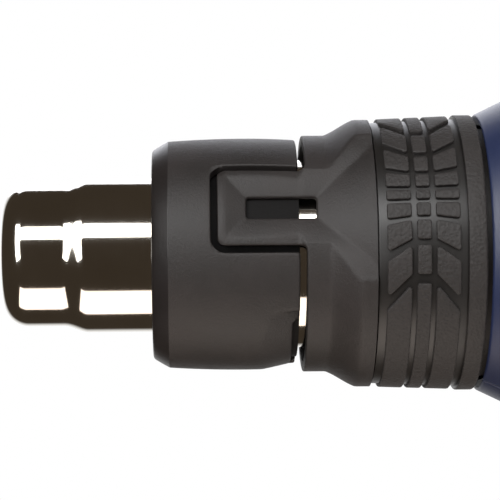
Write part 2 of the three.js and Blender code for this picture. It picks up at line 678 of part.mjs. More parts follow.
// The handle seen from the side, from the barrel's middle down to the heel.
function handleOutline() {
  const front = HANDLE_HALF_DEPTH;
  const base = -HANDLE_REACH;
  const heelTop = atHandle(HEEL_FLARE_AT, front + HEEL_FLARE)[1];
  const point = (s, n) => new THREE.Vector2(...atHandle(s, n));
  const stand = STAND_RING_HEIGHT + FIT;
  const shape = new THREE.Shape();
  shape.moveTo(-16, HANDLE_RISE + 20);
  shape.lineTo(-30, HANDLE_RISE + 30);
  shape.bezierCurveTo(-46, HANDLE_RISE + 27, ...atHandle(50, front), ...atHandle(70, front));
  shape.splineThru([point(88, front - 0.4), point(118, front - 1.6), point(148, front)]);
  shape.quadraticCurveTo(base + HEEL_CORNER + 11, heelTop, base + HEEL_CORNER + 2, heelTop);
  shape.lineTo(base + HEEL_CORNER, heelTop);
  shape.absarc(base + HEEL_CORNER, heelTop - HEEL_CORNER, HEEL_CORNER, Math.PI / 2, Math.PI, false);
  shape.lineTo(base, stand + HEEL_CORNER);
  shape.absarc(base + HEEL_CORNER, stand + HEEL_CORNER, HEEL_CORNER, Math.PI, Math.PI * 1.5, false);
  shape.lineTo(base + HEEL_CORNER + 16, stand);
  shape.bezierCurveTo(base + HEEL_CORNER + 32, stand, ...atHandle(142, -front), ...atHandle(124, -front));
  shape.splineThru([point(104, -front - 0.6), point(84, -front), point(62, -front)]);
  shape.lineTo(-16, HANDLE_RISE - 34);
  shape.closePath();
  return shape;
}

function handleSolid(inset) {
  const rounding = HANDLE_ROUNDING - inset;
  const half = HANDLE_WIDTH / 2 - inset;
  return slab(handleOutline(), -half + rounding, half - rounding, {
    bevelEnabled: true, bevelSegments: 2, bevelSize: rounding, bevelThickness: rounding,
    bevelOffset: -rounding - inset, divisions: 3,
  });
}

function housingSolid(inset) {
  const side = barrelSide(inset);
  const barrel = turned([[0, BARREL_REAR], [BARREL_RADIUS - inset, BARREL_REAR],
    ...side.reverse(), [0, BARREL_FRONT]]);
  return barrel.add(handleSolid(inset));
}

// The part of the handle that carries the soft grip, as seen from the side.
function gripRegion(margin) {
  const shape = new THREE.Shape();
  const far = HANDLE_HALF_DEPTH + 40;
  const start = SWITCH_AT + SWITCH_LENGTH / 2 + BEZEL_MARGIN + GRIP_SETBACK - margin;
  shape.moveTo(...atHandle(start, far));
  shape.lineTo(...atHandle(start, 8 - margin));
  shape.quadraticCurveTo(...atHandle(start + 4, 1 - margin), ...atHandle(start + 16, 1 - margin));
  shape.lineTo(...atHandle(142, 1 - margin));
  shape.quadraticCurveTo(...atHandle(154 + margin, 2 - margin), ...atHandle(156 + margin, 12));
  shape.lineTo(...atHandle(158 + margin, far));
  shape.closePath();
  return slab(shape, -BIG / 2, BIG / 2);
}

function switchOpening(margin) {
  return placed(box(SWITCH_LENGTH + 2 * margin, SWITCH_WIDTH + 2 * margin, BIG / 4, 0, 0, BIG / 8),
    SWITCH_AT, HANDLE_HALF_DEPTH - SWITCH_DEPTH);
}

function switchPad() {
  const size = [SWITCH_LENGTH + 2 * BEZEL_MARGIN + 3, SWITCH_WIDTH + 2 * BEZEL_MARGIN + 3];
  return placed(box(size[0], size[1], 7, 0, 0, -3.5), SWITCH_AT, HANDLE_HALF_DEPTH + PAD_RISE);
}

// Flat seat that is cut for the switch's bezel where the handle curves up to the barrel.
function bezelSeat() {
  const length = SWITCH_LENGTH + 2 * BEZEL_MARGIN + 2 * FIT;
  const width = SWITCH_WIDTH + 2 * BEZEL_MARGIN + 2 * FIT;
  return placed(box(length, width, 10, 0, 0, 5), SWITCH_AT, HANDLE_HALF_DEPTH + PAD_RISE);
}

function wheelSlot() {
  const width = WHEEL_WIDTH + 2 * RUNNING;
  return placed(box(2 * WHEEL_RADIUS + 1, width, 14, 0, 0, -7), WHEEL_AT, -HANDLE_HALF_DEPTH + 6);
}

function housing() {
  const outer = housingSolid(0);
  const lip = disc(BARREL_RADIUS + 5, LIP_REAR, BARREL_FRONT + 1);
  const inner = housingSolid(WALL).subtract(lip)
    .add(disc(SPIGOT_RADIUS + FIT, BARREL_FRONT - 30, BARREL_FRONT + 1, ROUND))
    .add(disc(BARREL_RADIUS - WALL, BARREL_REAR - 1, BARREL_REAR + 30, ROUND));
  const underGrip = outer.subtract(housingSolid(SKIN + FIT)).intersect(gripRegion(FIT));
  let bosses = null;
  for (const [s, n] of HOUSING_SCREWS) {
    const boss = crossPin(BOSS_RADIUS, s, n, -BIG / 4, BIG / 4, 12);
    bosses = bosses ? bosses.add(boss) : boss;
  }
  const fullBosses = bosses.intersect(housingSolid(SKIN + 2 * FIT));
  let shell = outer.add(switchPad()).subtract(inner).add(inletBoss()).subtract(underGrip).add(fullBosses);
  shell = shell.subtract(switchOpening(FIT)).subtract(bezelSeat());
  shell = shell.subtract(wheelSlot()).subtract(inletHole());
  for (const [s, n] of HOUSING_SCREWS) {
    shell = shell.subtract(crossPin(SCREW_RADIUS + FIT, s, n, SCREW_SEAT - SCREW_REACH - 1, BIG / 4, 8))
      .subtract(crossPin(SCREW_HEAD_RADIUS + FIT, s, n, SCREW_SEAT, BIG / 4, 12));
  }
  return shell;
}

function halfOf(solid, side) {
  return solid.intersect(box(BIG * 2, BIG, BIG * 2, 0, side * (BIG / 2 + SEAM / 2), 0));
}

function softGrip(side) {
  const skin = housingSolid(0).subtract(housingSolid(SKIN)).intersect(gripRegion(0));
  return halfOf(skin, side).subtract(screwWells());
}

// Wells through the soft grip, so that a screw under it can be reached.
function screwWells() {
  let wells = null;
  for (const [s, n] of HOUSING_SCREWS) {
    const well = crossPin(SCREW_HEAD_RADIUS + 2 * FIT, s, n, 0, BIG / 4, 12);
    wells = wells ? wells.add(well) : well;
  }
  return wells;
}

function housingScrew([s, n]) {
  return crossPin(SCREW_RADIUS, s, n, SCREW_SEAT - SCREW_REACH, SCREW_SEAT + FIT + 1, 8)
    .add(crossPin(SCREW_HEAD_RADIUS, s, n, SCREW_SEAT + FIT, SCREW_SEAT + FIT + SCREW_HEAD_HEIGHT, 12));
}

// ---------------------------------------------------------------- rear cap and rests

function rearCap() {
  const top = BARREL_REAR - FIT;
  const spigotOuter = BARREL_RADIUS - WALL - FIT;
  const spigotInner = spigotOuter - 1.8;
  let cap = turned([
    [0, 0], [CAP_FACE_RADIUS, 0], [CAP_FACE_RADIUS + 2.6, 1.6], [CAP_FACE_RADIUS + 4, 4.6],
    [BARREL_RADIUS, top], [spigotOuter, top], [spigotOuter, BARREL_REAR + CAP_SPIGOT],
    [spigotInner, BARREL_REAR + CAP_SPIGOT], [spigotInner, top - 2],
    [CAP_FACE_RADIUS + 1.2, CAP_WALL + 2], [CAP_FACE_RADIUS - 1, CAP_WALL], [0, CAP_WALL],
  ]);
  const slotLength = CAP_SLOT_OUTER - CAP_SLOT_INNER;
  const slot = box(slotLength, CAP_SLOT_WIDTH, BIG / 16, (CAP_SLOT_OUTER + CAP_SLOT_INNER) / 2, 0, 0);
  const sideSlot = box(12, SIDE_SLOT_WIDTH, SIDE_SLOT_LENGTH, BARREL_RADIUS - 2, 0,
    (top + 3) / 2);
  cap = cap.subtract(repeated(slot, CAP_SLOTS).intersect(disc(BIG / 4, -1, CAP_WALL + 1)));
  cap = cap.subtract(repeated(sideSlot, SIDE_SLOTS));
  return cap.subtract(ring(STAND_RING_INNER - FIT, STAND_RING_OUTER + FIT, -1, STAND_RING_HEIGHT + FIT));
}

function standRing() {
  return ring(STAND_RING_INNER, STAND_RING_OUTER, 0, STAND_RING_HEIGHT);
}

function heelPad() {
  const width = HANDLE_WIDTH - 2 * HANDLE_ROUNDING + 4;
  return box(15, width, STAND_RING_HEIGHT, -HANDLE_REACH + HEEL_CORNER + 8, 0, STAND_RING_HEIGHT / 2);
}

// ---------------------------------------------------------------- controls and wiring parts

function alongX(solid, x) {
  return solid.rotate([0, 90, 0]).translate([x, 0, INLET_HEIGHT]);
}

function inletHole() {
  const pocket = disc(INLET_FLANGE_RADIUS + FIT, WALL, WALL + INLET_FLANGE + 2 * FIT);
  return alongX(disc(INLET_NECK_RADIUS + FIT, -8, 8).add(pocket), -HANDLE_REACH);
}

// Round boss that gives the inlet's flange a flat seat on the rounded heel.
function inletBoss() {
  return alongX(disc(INLET_FLANGE_RADIUS + 2, 0, WALL), -HANDLE_REACH);
}

function cableInlet() {
  const inside = WALL + FIT;
  return alongX(turned([
    [INLET_BORE, -INLET_FLANGE - FIT], [INLET_FLANGE_RADIUS, -INLET_FLANGE - FIT],
    [INLET_FLANGE_RADIUS, -FIT],
    [INLET_NECK_RADIUS, -FIT], [INLET_NECK_RADIUS, inside], [INLET_FLANGE_RADIUS, inside],
    [INLET_FLANGE_RADIUS, inside + INLET_FLANGE], [INLET_BORE, inside + INLET_FLANGE],
  ], SMALL_ROUND), -HANDLE_REACH);
}

function switchBody() {
  const top = SWITCH_DEPTH + PAD_RISE + FIT;
  const body = box(SWITCH_LENGTH, SWITCH_WIDTH, top, 0, 0, top / 2)
    .add(box(SWITCH_LENGTH + 2 * BEZEL_MARGIN, SWITCH_WIDTH + 2 * BEZEL_MARGIN, BEZEL_HEIGHT,
      0, 0, top + BEZEL_HEIGHT / 2));
  const pocket = box(ROCKER_LENGTH + 3, ROCKER_WIDTH + 2 * RUNNING, 16, 0, 0, top + BEZEL_HEIGHT + 1);
  return placed(body.subtract(pocket), SWITCH_AT, HANDLE_HALF_DEPTH - SWITCH_DEPTH);
}

function switchRocker() {
  const half = ROCKER_LENGTH / 2;
  const shape = new THREE.Shape();
  shape.moveTo(-half, ROCKER_RISE + 1.3);
  shape.quadraticCurveTo(0, ROCKER_RISE - 0.9, half, ROCKER_RISE + 1.3);
  shape.lineTo(half - 0.6, -ROCKER_DEPTH);
  shape.quadraticCurveTo(0, -ROCKER_DEPTH - 2.4, -half + 0.6, -ROCKER_DEPTH);
  shape.closePath();
  const width = ROCKER_WIDTH / 2;
  return placed(slab(shape, -width, width, { divisions: 6 }), SWITCH_AT,
    HANDLE_HALF_DEPTH + ROCKER_PIVOT);
}

function thumbwheel() {
  const wheel = crossPin(WHEEL_RADIUS, WHEEL_AT, WHEEL_ACROSS, -WHEEL_WIDTH / 2, WHEEL_WIDTH / 2, ROUND);
  const stub = crossPin(WHEEL_STUB_RADIUS, WHEEL_AT, WHEEL_ACROSS, 0, WHEEL_WIDTH / 2 + 4, 16);
  const [x, z] = atHandle(WHEEL_AT, WHEEL_ACROSS);
  let knurled = wheel.add(stub);
  for (let i = 0; i < WHEEL_KNURLS; i += 1) {
    const angle = i * 2 * Math.PI / WHEEL_KNURLS;
    const [cx, cz] = [WHEEL_RADIUS * Math.cos(angle), WHEEL_RADIUS * Math.sin(angle)];
    const nick = disc(0.7, -WHEEL_WIDTH, WHEEL_WIDTH, 4).rotate([-90, 0, 0]);
    knurled = knurled.subtract(moved(nick, x + cx, 0, z + cz));
  }
  return knurled;
}

function potentiometer() {
  const low = WHEEL_WIDTH / 2 + RUNNING + 0.5;
  return crossPin(POT_RADIUS, WHEEL_AT, WHEEL_ACROSS, low, low + POT_DEPTH)
    .subtract(crossPin(WHEEL_STUB_RADIUS + RUNNING, WHEEL_AT, WHEEL_ACROSS, low - 1, low + 4.2, 16));
}

function onBoard([sx, sy, sz], along, across) {
  return placed(box(sx, sy, sz, 0, BOARD_OFFSET - FIT - sy / 2, 0), BOARD_AT + along, across);
}

function controlBoard() {
  return placed(box(BOARD_LENGTH, BOARD_THICKNESS, BOARD_WIDTH,
    0, BOARD_OFFSET + BOARD_THICKNESS / 2, 0), BOARD_AT + BOARD_LENGTH / 2, 0);
}

function heatsink() {
  const [sx, sy, sz] = HEATSINK_SIZE;
  let body = box(sx, sy, sz, 0, BOARD_OFFSET - FIT - sy / 2, 0);
  for (let i = 0; i < HEATSINK_FINS - 1; i += 1) {
    const x = (i - (HEATSINK_FINS - 2) / 2) * sx / HEATSINK_FINS;
    body = body.subtract(box(2, sy, sz, x, BOARD_OFFSET - FIT - sy / 2 - 2.5, 0));
  }
  return placed(body, BOARD_AT + 12, 6);
}

function terminalBlock() {
  const [sx, sy, sz] = TERMINAL_SIZE;
  let block = box(sx, sy, sz, 0, 0, 0);
  for (const side of [-1, 1]) {
    block = block.subtract(box(sx + 2, 3, 3, 0, side * sy / 4, -1))
      .subtract(moved(disc(1.6, 0, sz, 12), 0, side * sy / 4, 0));
  }
  return placed(block, TERMINAL_AT, 0.5);
}

function clampScrewPlaces() {
  return [-1, 1].map((side) => side * (CLAMP_SIZE[1] / 2 - 3));
}

function cableClamp() {
  const [sx, sy, sz] = CLAMP_SIZE;
  let clamp = box(sx, sy, sz, 0, 0, sz / 2)
    .subtract(disc(INLET_BORE, -sx, sx).rotate([0, 90, 0]));
  for (const y of clampScrewPlaces()) clamp = clamp.subtract(moved(disc(1.3 + FIT, -1, sz + 1, 12), 0, y, 0));
  return clamp.translate([-CLAMP_AT, 0, INLET_HEIGHT]);
}

function clampScrew(y) {
  const top = CLAMP_SIZE[2] + FIT;
  return disc(1.3, -3, top + 1, 12).add(disc(2.5, top, top + 1.8, 14))
    .translate([-CLAMP_AT, y, INLET_HEIGHT]);
}

// ---------------------------------------------------------------- the assembly

const FINISHES = {
  steel: [0xc9c4ba, 0.18, 1],
  nylon: [0x2b2827, 0.55, 0],
  rubber: [0x242222, 0.75, 0],
  housing: [0x24335c, 0.42, 0],
  grip: [0x1d1d1f, 0.8, 0],
  ceramic: [0xe6ddc8, 0.8, 0],
  mica: [0xb09a6a, 0.5, 0],
  nichrome: [0x6d6a68, 0.4, 1],
  zinc: [0xa9acae, 0.35, 1],
  board: [0x2c6b3f, 0.5, 0],
  aluminium: [0xbfc3c6, 0.4, 1],
  silicone: [0x8c2f22, 0.7, 0],
  brass: [0xc2a14d, 0.35, 1],
  dark_steel: [0x55585c, 0.4, 1],
  copper: [0xa9653a, 0.4, 1],
  control: [0x141416, 0.4, 0],
};

const group = new THREE.Group();

function addPiece(name, solid, finish) {
  const [color, roughness, metalness] = FINISHES[finish];
  const mesh = new THREE.Mesh(toGeometry(solid),
    new THREE.MeshStandardMaterial({ color, roughness, metalness }));
  mesh.name = name;
  group.add(mesh);
}

addPiece('nozzle_tube', nozzleTube(), 'steel');
addPiece('collar', collar(), 'nylon');
addPiece('neck', neck(), 'nylon');
addPiece('tread_ring', treadRing(), 'rubber');

addPiece('mica_tube', micaTube(), 'mica');
addPiece('heater_core', heaterCore(), 'ceramic');
for (let i = 0; i < COILS; i += 1) addPiece(`heating_coil_${i + 1}`, heatingCoil(i), 'nichrome');
addPiece('heater_base', heaterBase(), 'ceramic');
addPiece('thermal_cutout', thermalCutout(), 'zinc');
addPiece('temperature_sensor', temperatureSensor(), 'zinc');
addPiece('flange_gasket', gasket(), 'silicone');
for (let i = 0; i < FLANGE_SCREWS; i += 1) addPiece(`flange_screw_${i + 1}`, flangeScrew(i), 'zinc');

addPiece('air_duct', airDuct(), 'nylon');
addPiece('motor_bracket', motorBracket(), 'nylon');
addPiece('motor_can', motorCan(), 'zinc');
addPiece('motor_end_bell', motorEndBell(), 'nylon');
addPiece('bearing_front', bearing(MOTOR_FRONT - BEARING_DEPTH), 'brass');
addPiece('bearing_rear', bearing(MOTOR_REAR), 'brass');
addPiece('magnet_1', magnet(-1), 'dark_steel');
addPiece('magnet_2', magnet(1), 'dark_steel');
addPiece('motor_shaft', motorShaft(), 'zinc');
addPiece('armature', armature(), 'copper');
addPiece('impeller', impeller(), 'nylon');

const shells = housing();
addPiece('housing_left', halfOf(shells, -1), 'housing');
addPiece('housing_right', halfOf(shells, 1), 'housing');
addPiece('grip_left', softGrip(-1), 'grip');
addPiece('grip_right', softGrip(1), 'grip');
HOUSING_SCREWS.forEach((place, i) => addPiece(`housing_screw_${i + 1}`, housingScrew(place), 'dark_steel'));
addPiece('rear_cap', rearCap(), 'nylon');
addPiece('stand_ring', standRing(), 'rubber');
addPiece('heel_pad', heelPad(), 'rubber');

addPiece('switch_body', switchBody(), 'control');
addPiece('switch_rocker', switchRocker(), 'control');
addPiece('thumbwheel', thumbwheel(), 'control');
addPiece('potentiometer', potentiometer(), 'zinc');
addPiece('control_board', controlBoard(), 'board');
addPiece('heatsink', heatsink(), 'aluminium');
addPiece('triac', onBoard(TRIAC_SIZE, 24, 6), 'control');
addPiece('capacitor', onBoard(CAPACITOR_SIZE, 34, -6), 'mica');
addPiece('terminal_block', terminalBlock(), 'ceramic');
addPiece('cable_clamp', cableClamp(), 'nylon');
clampScrewPlaces().forEach((y, i) => addPiece(`clamp_screw_${i + 1}`, clampScrew(y), 'zinc'));
addPiece('cable_inlet', cableInlet(), 'rubber');

export default group;
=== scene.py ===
"""A pistol-grip heat gun: the visual model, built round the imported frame.

The gun stands on its rear cap with its nozzle up. Z is the barrel axis, the handle reaches
towards -X, and the housing is split along Y = 0. Sizes in the classes are in millimetres and are
turned to metres where a mesh is made.
"""
import json
import logging
import math
from dataclasses import dataclass, field
from enum import Enum
from functools import lru_cache
from typing import Callable, Iterable, Sequence

import bmesh
import bpy
import numpy as np
from mathutils import Matrix, Vector


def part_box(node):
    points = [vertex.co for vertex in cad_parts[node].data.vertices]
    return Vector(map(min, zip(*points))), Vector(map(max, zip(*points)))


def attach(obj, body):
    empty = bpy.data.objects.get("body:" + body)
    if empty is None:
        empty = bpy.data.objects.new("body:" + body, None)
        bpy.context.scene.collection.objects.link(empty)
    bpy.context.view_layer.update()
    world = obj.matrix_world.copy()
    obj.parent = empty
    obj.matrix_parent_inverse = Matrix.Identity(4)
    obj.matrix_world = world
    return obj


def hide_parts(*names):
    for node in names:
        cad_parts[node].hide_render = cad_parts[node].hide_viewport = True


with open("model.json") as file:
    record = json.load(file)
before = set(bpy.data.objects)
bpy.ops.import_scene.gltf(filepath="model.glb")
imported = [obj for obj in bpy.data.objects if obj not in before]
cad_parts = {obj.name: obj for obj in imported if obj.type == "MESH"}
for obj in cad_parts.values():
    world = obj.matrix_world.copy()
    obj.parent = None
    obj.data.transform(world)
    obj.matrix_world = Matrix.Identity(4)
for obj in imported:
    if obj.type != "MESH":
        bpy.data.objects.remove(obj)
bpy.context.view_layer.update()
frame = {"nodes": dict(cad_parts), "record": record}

LOG = logging.getLogger("heat_gun")
MM = 0.001
TAU = 2 * math.pi

Point2 = tuple[float, float]
Profile = list[Point2]


# ------------------------------------------------------------------ node and colour helpers


def linear(hex_colour: str) -> tuple[float, float, float, float]:
    """Turns an sRGB hex colour to a linear RGBA colour.

    Args:
        hex_colour: Six hex digits, with or without a leading hash.

    Returns:
        The linear red, green, blue and alpha.
    """
    digits = hex_colour.lstrip("#")
    values = [int(digits[i:i + 2], 16) / 255 for i in (0, 2, 4)]
    red, green, blue = [v / 12.92 if v <= 0.04045 else ((v + 0.055) / 1.055) ** 2.4 for v in values]
    return red, green, blue, 1.0


def add_node(tree: bpy.types.NodeTree, kind: str, settings: dict | None = None,
             links: dict | None = None) -> bpy.types.Node:
    """Adds a node with its settings and its links.

    Args:
        tree: The node tree.
        kind: The node's bl_idname.
        settings: Attribute names, or input names or numbers prefixed with "in:", to values.
        links: Input names or numbers to the output sockets that feed them.

    Returns:
        The new node.
    """
    node = tree.nodes.new(kind)
    for key, value in (settings or {}).items():
        if key.startswith("in:"):
            socket = key[3:]
            node.inputs[int(socket) if socket.isdigit() else socket].default_value = value
        else:
            setattr(node, key, value)
    for key, output in (links or {}).items():
        tree.links.new(output, node.inputs[key])
    return node


# ------------------------------------------------------------------ finishes


class Grain(Enum):
    """How a surface was made, which decides its fine relief."""

    SPARK = "spark-eroded"
    LEATHER = "leather"
    BRUSHED = "brushed"
    CAST = "cast"
    WOVEN = "wound"


@dataclass(frozen=True)
class Finish:
    """One real material and the way its surface was made.

    grain_mm is the real size of the relief, and depth_mm how deep it is.
    """

    name: str
    base: str
    tone: str
    roughness: tuple[float, float]
    grain: Grain
    grain_mm: float
    depth_mm: float
    metallic: float = 0.0
    tone_mm: float = 18.0
    sheen: float = 0.0
    coat: float = 0.0
    specular: float = 0.5

    def build(self) -> bpy.types.Material:
        """Makes the node material."""
        material = bpy.data.materials.new(self.name)
        material.use_nodes = True
        tree = material.node_tree
        tree.nodes.clear()
        where = add_node(tree, "ShaderNodeTexCoord").outputs["Object"]
        height = self._relief(tree, where)
        broad = add_node(tree, "ShaderNodeTexNoise",
                         {"in:Scale": 1 / (self.tone_mm * MM), "in:Detail": 4.0, "in:Roughness": 0.6},
                         {"Vector": where})
        fine = add_node(tree, "ShaderNodeMath", {"operation": "MULTIPLY_ADD", "in:1": 0.35, "in:2": 0.0},
                        {0: height})
        blend = add_node(tree, "ShaderNodeMath", {"operation": "ADD", "use_clamp": True},
                         {0: broad.outputs["Fac"], 1: fine.outputs[0]})
        shade = add_node(tree, "ShaderNodeMapRange", {"in:From Min": 0.35, "in:From Max": 0.95},
                         {"Value": blend.outputs[0]})
        colour = add_node(tree, "ShaderNodeMix", {"data_type": "RGBA", "in:6": linear(self.base),
                                                  "in:7": linear(self.tone)},
                          {0: shade.outputs["Result"]})
        rough = add_node(tree, "ShaderNodeMapRange",
                         {"in:To Min": self.roughness[0], "in:To Max": self.roughness[1]},
                         {"Value": blend.outputs[0]})
        bump = add_node(tree, "ShaderNodeBump", {"in:Strength": 1.0, "in:Distance": self.depth_mm * MM},
                        {"Height": height})
        shader = add_node(tree, "ShaderNodeBsdfPrincipled",
                          {"in:Metallic": self.metallic, "in:Sheen Weight": self.sheen,
                           "in:Coat Weight": self.coat, "in:Specular IOR Level": self.specular},
                          {"Base Color": colour.outputs[2], "Roughness": rough.outputs["Result"],
                           "Normal": bump.outputs["Normal"]})
        add_node(tree, "ShaderNodeOutputMaterial", {}, {"Surface": shader.outputs["BSDF"]})
        return material

    def _relief(self, tree: bpy.types.NodeTree, where: bpy.types.NodeSocket) -> bpy.types.NodeSocket:
        """Adds the nodes of the fine relief and returns its height socket."""
        scale = 1 / (self.grain_mm * MM)
        if self.grain is Grain.LEATHER:
            warp = add_node(tree, "ShaderNodeTexNoise", {"in:Scale": scale * 0.6, "in:Detail": 3.0},
                            {"Vector": where})
            push = add_node(tree, "ShaderNodeVectorMath", {"operation": "MULTIPLY_ADD",
                                                           "in:1": (0.6 / scale,) * 3},
                            {0: warp.outputs["Color"], 2: where})
            cells = add_node(tree, "ShaderNodeTexVoronoi",
                             {"feature": "SMOOTH_F1", "in:Scale": scale, "in:Smoothness": 0.4},
                             {"Vector": push.outputs[0]})
            grit = add_node(tree, "ShaderNodeTexNoise", {"in:Scale": scale * 4, "in:Detail": 2.0},
                            {"Vector": where})
            mix = add_node(tree, "ShaderNodeMath", {"operation": "MULTIPLY_ADD", "in:1": 0.3},
                           {0: grit.outputs["Fac"], 2: cells.outputs["Distance"]})
            return mix.outputs[0]
        if self.grain is Grain.BRUSHED:
            stretch = add_node(tree, "ShaderNodeMapping", {"in:Scale": (1.0, 1.0, 14.0)}, {"Vector": where})
            lines = add_node(tree, "ShaderNodeTexNoise",
                             {"in:Scale": scale / 14, "in:Detail": 5.0, "in:Roughness": 0.7},
                             {"Vector": stretch.outputs["Vector"]})
            return lines.outputs["Fac"]
        if self.grain is Grain.WOVEN:
            wave = add_node(tree, "ShaderNodeTexWave",
                            {"bands_direction": "Z", "in:Scale": scale / 6, "in:Distortion": 0.4},
                            {"Vector": where})
            return wave.outputs["Fac"]
        detail = 6.0 if self.grain is Grain.SPARK else 2.0
        noise = add_node(tree, "ShaderNodeTexNoise",
                         {"in:Scale": scale, "in:Detail": detail, "in:Roughness": 0.65}, {"Vector": where})
        return noise.outputs["Fac"]


# Glass-filled nylon, spark-eroded mould: matt, warm black, with a tight sandy sparkle.
BLACK_NYLON = Finish("glass_filled_nylon_spark_eroded", "#171514", "#2a2524", (0.40, 0.58),
                     Grain.SPARK, 0.55, 0.13)
# The same nylon where the mould was polished: the collar's chamfer is smoother and glossier.
SMOOTH_NYLON = Finish("glass_filled_nylon_polished_mould", "#1a1716", "#242020", (0.30, 0.40),
                      Grain.SPARK, 0.6, 0.03)
# The collar's inner sleeve: dead matt and nearly black, a painted shade for the shadowed joint seen through
# the slots.
SHADE_BLACK_NYLON = Finish("glass_filled_nylon_painted_shade_black", "#060505", "#0c0a0a", (0.6, 0.75),
                     Grain.SPARK, 0.6, 0.05, specular=0.2)
# Soft thermoplastic rubber with a leather grain: matt and a little dusty on the tread's faces.
TREAD_RUBBER = Finish("thermoplastic_rubber_leather_grain", "#191716", "#2b2726", (0.48, 0.66),
                      Grain.LEATHER, 0.8, 0.14, sheen=0.03)
# The tread's groove floors come from a polished mould, so they shine a little.
SMOOTH_RUBBER = Finish("thermoplastic_rubber_polished_mould", "#161413", "#1d1b1a", (0.30, 0.42),
                       Grain.CAST, 1.5, 0.01)
# Navy nylon, lightly textured mould: satin, deep blue that greys at glancing angles.
NAVY_NYLON = Finish("navy_nylon_satin_moulded", "#19223f", "#212c4e", (0.34, 0.46),
                    Grain.SPARK, 0.55, 0.03, specular=0.6)
# Soft grip, moulded over: dead matt black with a fine grain.
GRIP_RUBBER = Finish("soft_grip_elastomer_moulded", "#181819", "#232325", (0.62, 0.80),
                     Grain.LEATHER, 0.9, 0.05, sheen=0.1)
# Stainless steel, drawn and polished: a mirror with the faintest turned polishing lines.
POLISHED_STEEL = Finish("stainless_steel_polished", "#cfc9bf", "#dbd7cf", (0.05, 0.11),
                        Grain.BRUSHED, 0.5, 0.0016, metallic=1.0)
# Cordierite, pressed and fired, unglazed: chalky cream with a coarse bite.
CORDIERITE = Finish("cordierite_fired", "#d9cfb6", "#efe7d3", (0.75, 0.9), Grain.CAST, 0.9, 0.06)
# Mica sheet, laminated: pale bronze flakes with a soft shine.
MICA = Finish("mica_laminated", "#a58b57", "#cbb68a", (0.35, 0.6), Grain.CAST, 2.2, 0.03)
# Resistance wire after its first firing: dull grey-brown oxide.
NICHROME = Finish("nichrome_wire_oxidised", "#6b6059", "#8b7d70", (0.3, 0.5), Grain.CAST, 0.5, 0.01,
                  metallic=1.0)
# Zinc-plated steel: bright, slightly blue, with rolling lines.
ZINC_STEEL = Finish("steel_zinc_plated", "#aeb2b5", "#c6c9cb", (0.22, 0.38), Grain.BRUSHED, 0.6, 0.006,
                    metallic=1.0)
# Blackened steel screws: dark, oily, with worn edges.
BLACK_STEEL = Finish("steel_blackened", "#3a3c3f", "#55585c", (0.3, 0.45), Grain.CAST, 0.6, 0.01,
                     metallic=1.0)
# Enamelled copper winding: warm, banded by its turns.
COPPER_WIRE = Finish("copper_wire_enamelled", "#a4532a", "#c8743f", (0.25, 0.4), Grain.WOVEN, 0.5, 0.08,
                     metallic=1.0)
# Sintered bronze bearings: porous, golden brown.
BRONZE = Finish("bronze_sintered", "#a5803f", "#c09a55", (0.4, 0.55), Grain.CAST, 0.3, 0.02, metallic=1.0)
# Fibreglass board under green solder mask.
BOARD = Finish("fibreglass_board_solder_mask", "#1c5230", "#2b6b41", (0.3, 0.45), Grain.WOVEN, 0.8, 0.01)
# Extruded aluminium with drawn lines.
ALUMINIUM = Finish("aluminium_extruded", "#b4b8bb", "#cfd2d4", (0.28, 0.42), Grain.BRUSHED, 0.5, 0.01,
                   metallic=1.0)
# Heat-resistant silicone: rust red, waxy.
SILICONE = Finish("silicone_moulded", "#7c2419", "#953427", (0.45, 0.6), Grain.CAST, 1.2, 0.02)
# Switch plastic, polished mould: deep black with a soft gloss.
SWITCH_PLASTIC = Finish("acetal_satin_moulded", "#111113", "#1a1a1d", (0.25, 0.38), Grain.SPARK, 0.6, 0.008)
# Pad-printed marks on the controls: flat off-white ink.
WHITE_INK = Finish("pad_print_ink_matt", "#d8d8d2", "#e6e6e1", (0.5, 0.6), Grain.CAST, 0.4, 0.004)

FLOOR_PAPER = Finish("studio_paper_matt", "#f2f1ef", "#f6f5f3", (0.8, 0.9), Grain.CAST, 3.0, 0.02)

SLOT_FINISHES: dict[str, Finish] = {
    "polished_steel": POLISHED_STEEL, "black_nylon": BLACK_NYLON, "tread_rubber": TREAD_RUBBER,
    "navy_nylon": NAVY_NYLON, "grip_rubber": GRIP_RUBBER, "ceramic": CORDIERITE, "mica": MICA,
    "heating_wire": NICHROME, "zinc_steel": ZINC_STEEL, "dark_steel": BLACK_STEEL,
    "copper_winding": COPPER_WIRE, "bronze": BRONZE, "circuit_board": BOARD, "aluminium": ALUMINIUM,
    "silicone": SILICONE, "control_black": SWITCH_PLASTIC,
}


@dataclass
class Palette:
    """Builds each finish once and hands out its material."""

    made: dict[str, bpy.types.Material] = field(default_factory=dict)

    def get(self, finish: Finish) -> bpy.types.Material:
        """Returns the finish's material, and makes it the first time."""
        if finish.name not in self.made:
            self.made[finish.name] = finish.build()
        return self.made[finish.name]


PALETTE = Palette()


# ------------------------------------------------------------------ mesh helpers


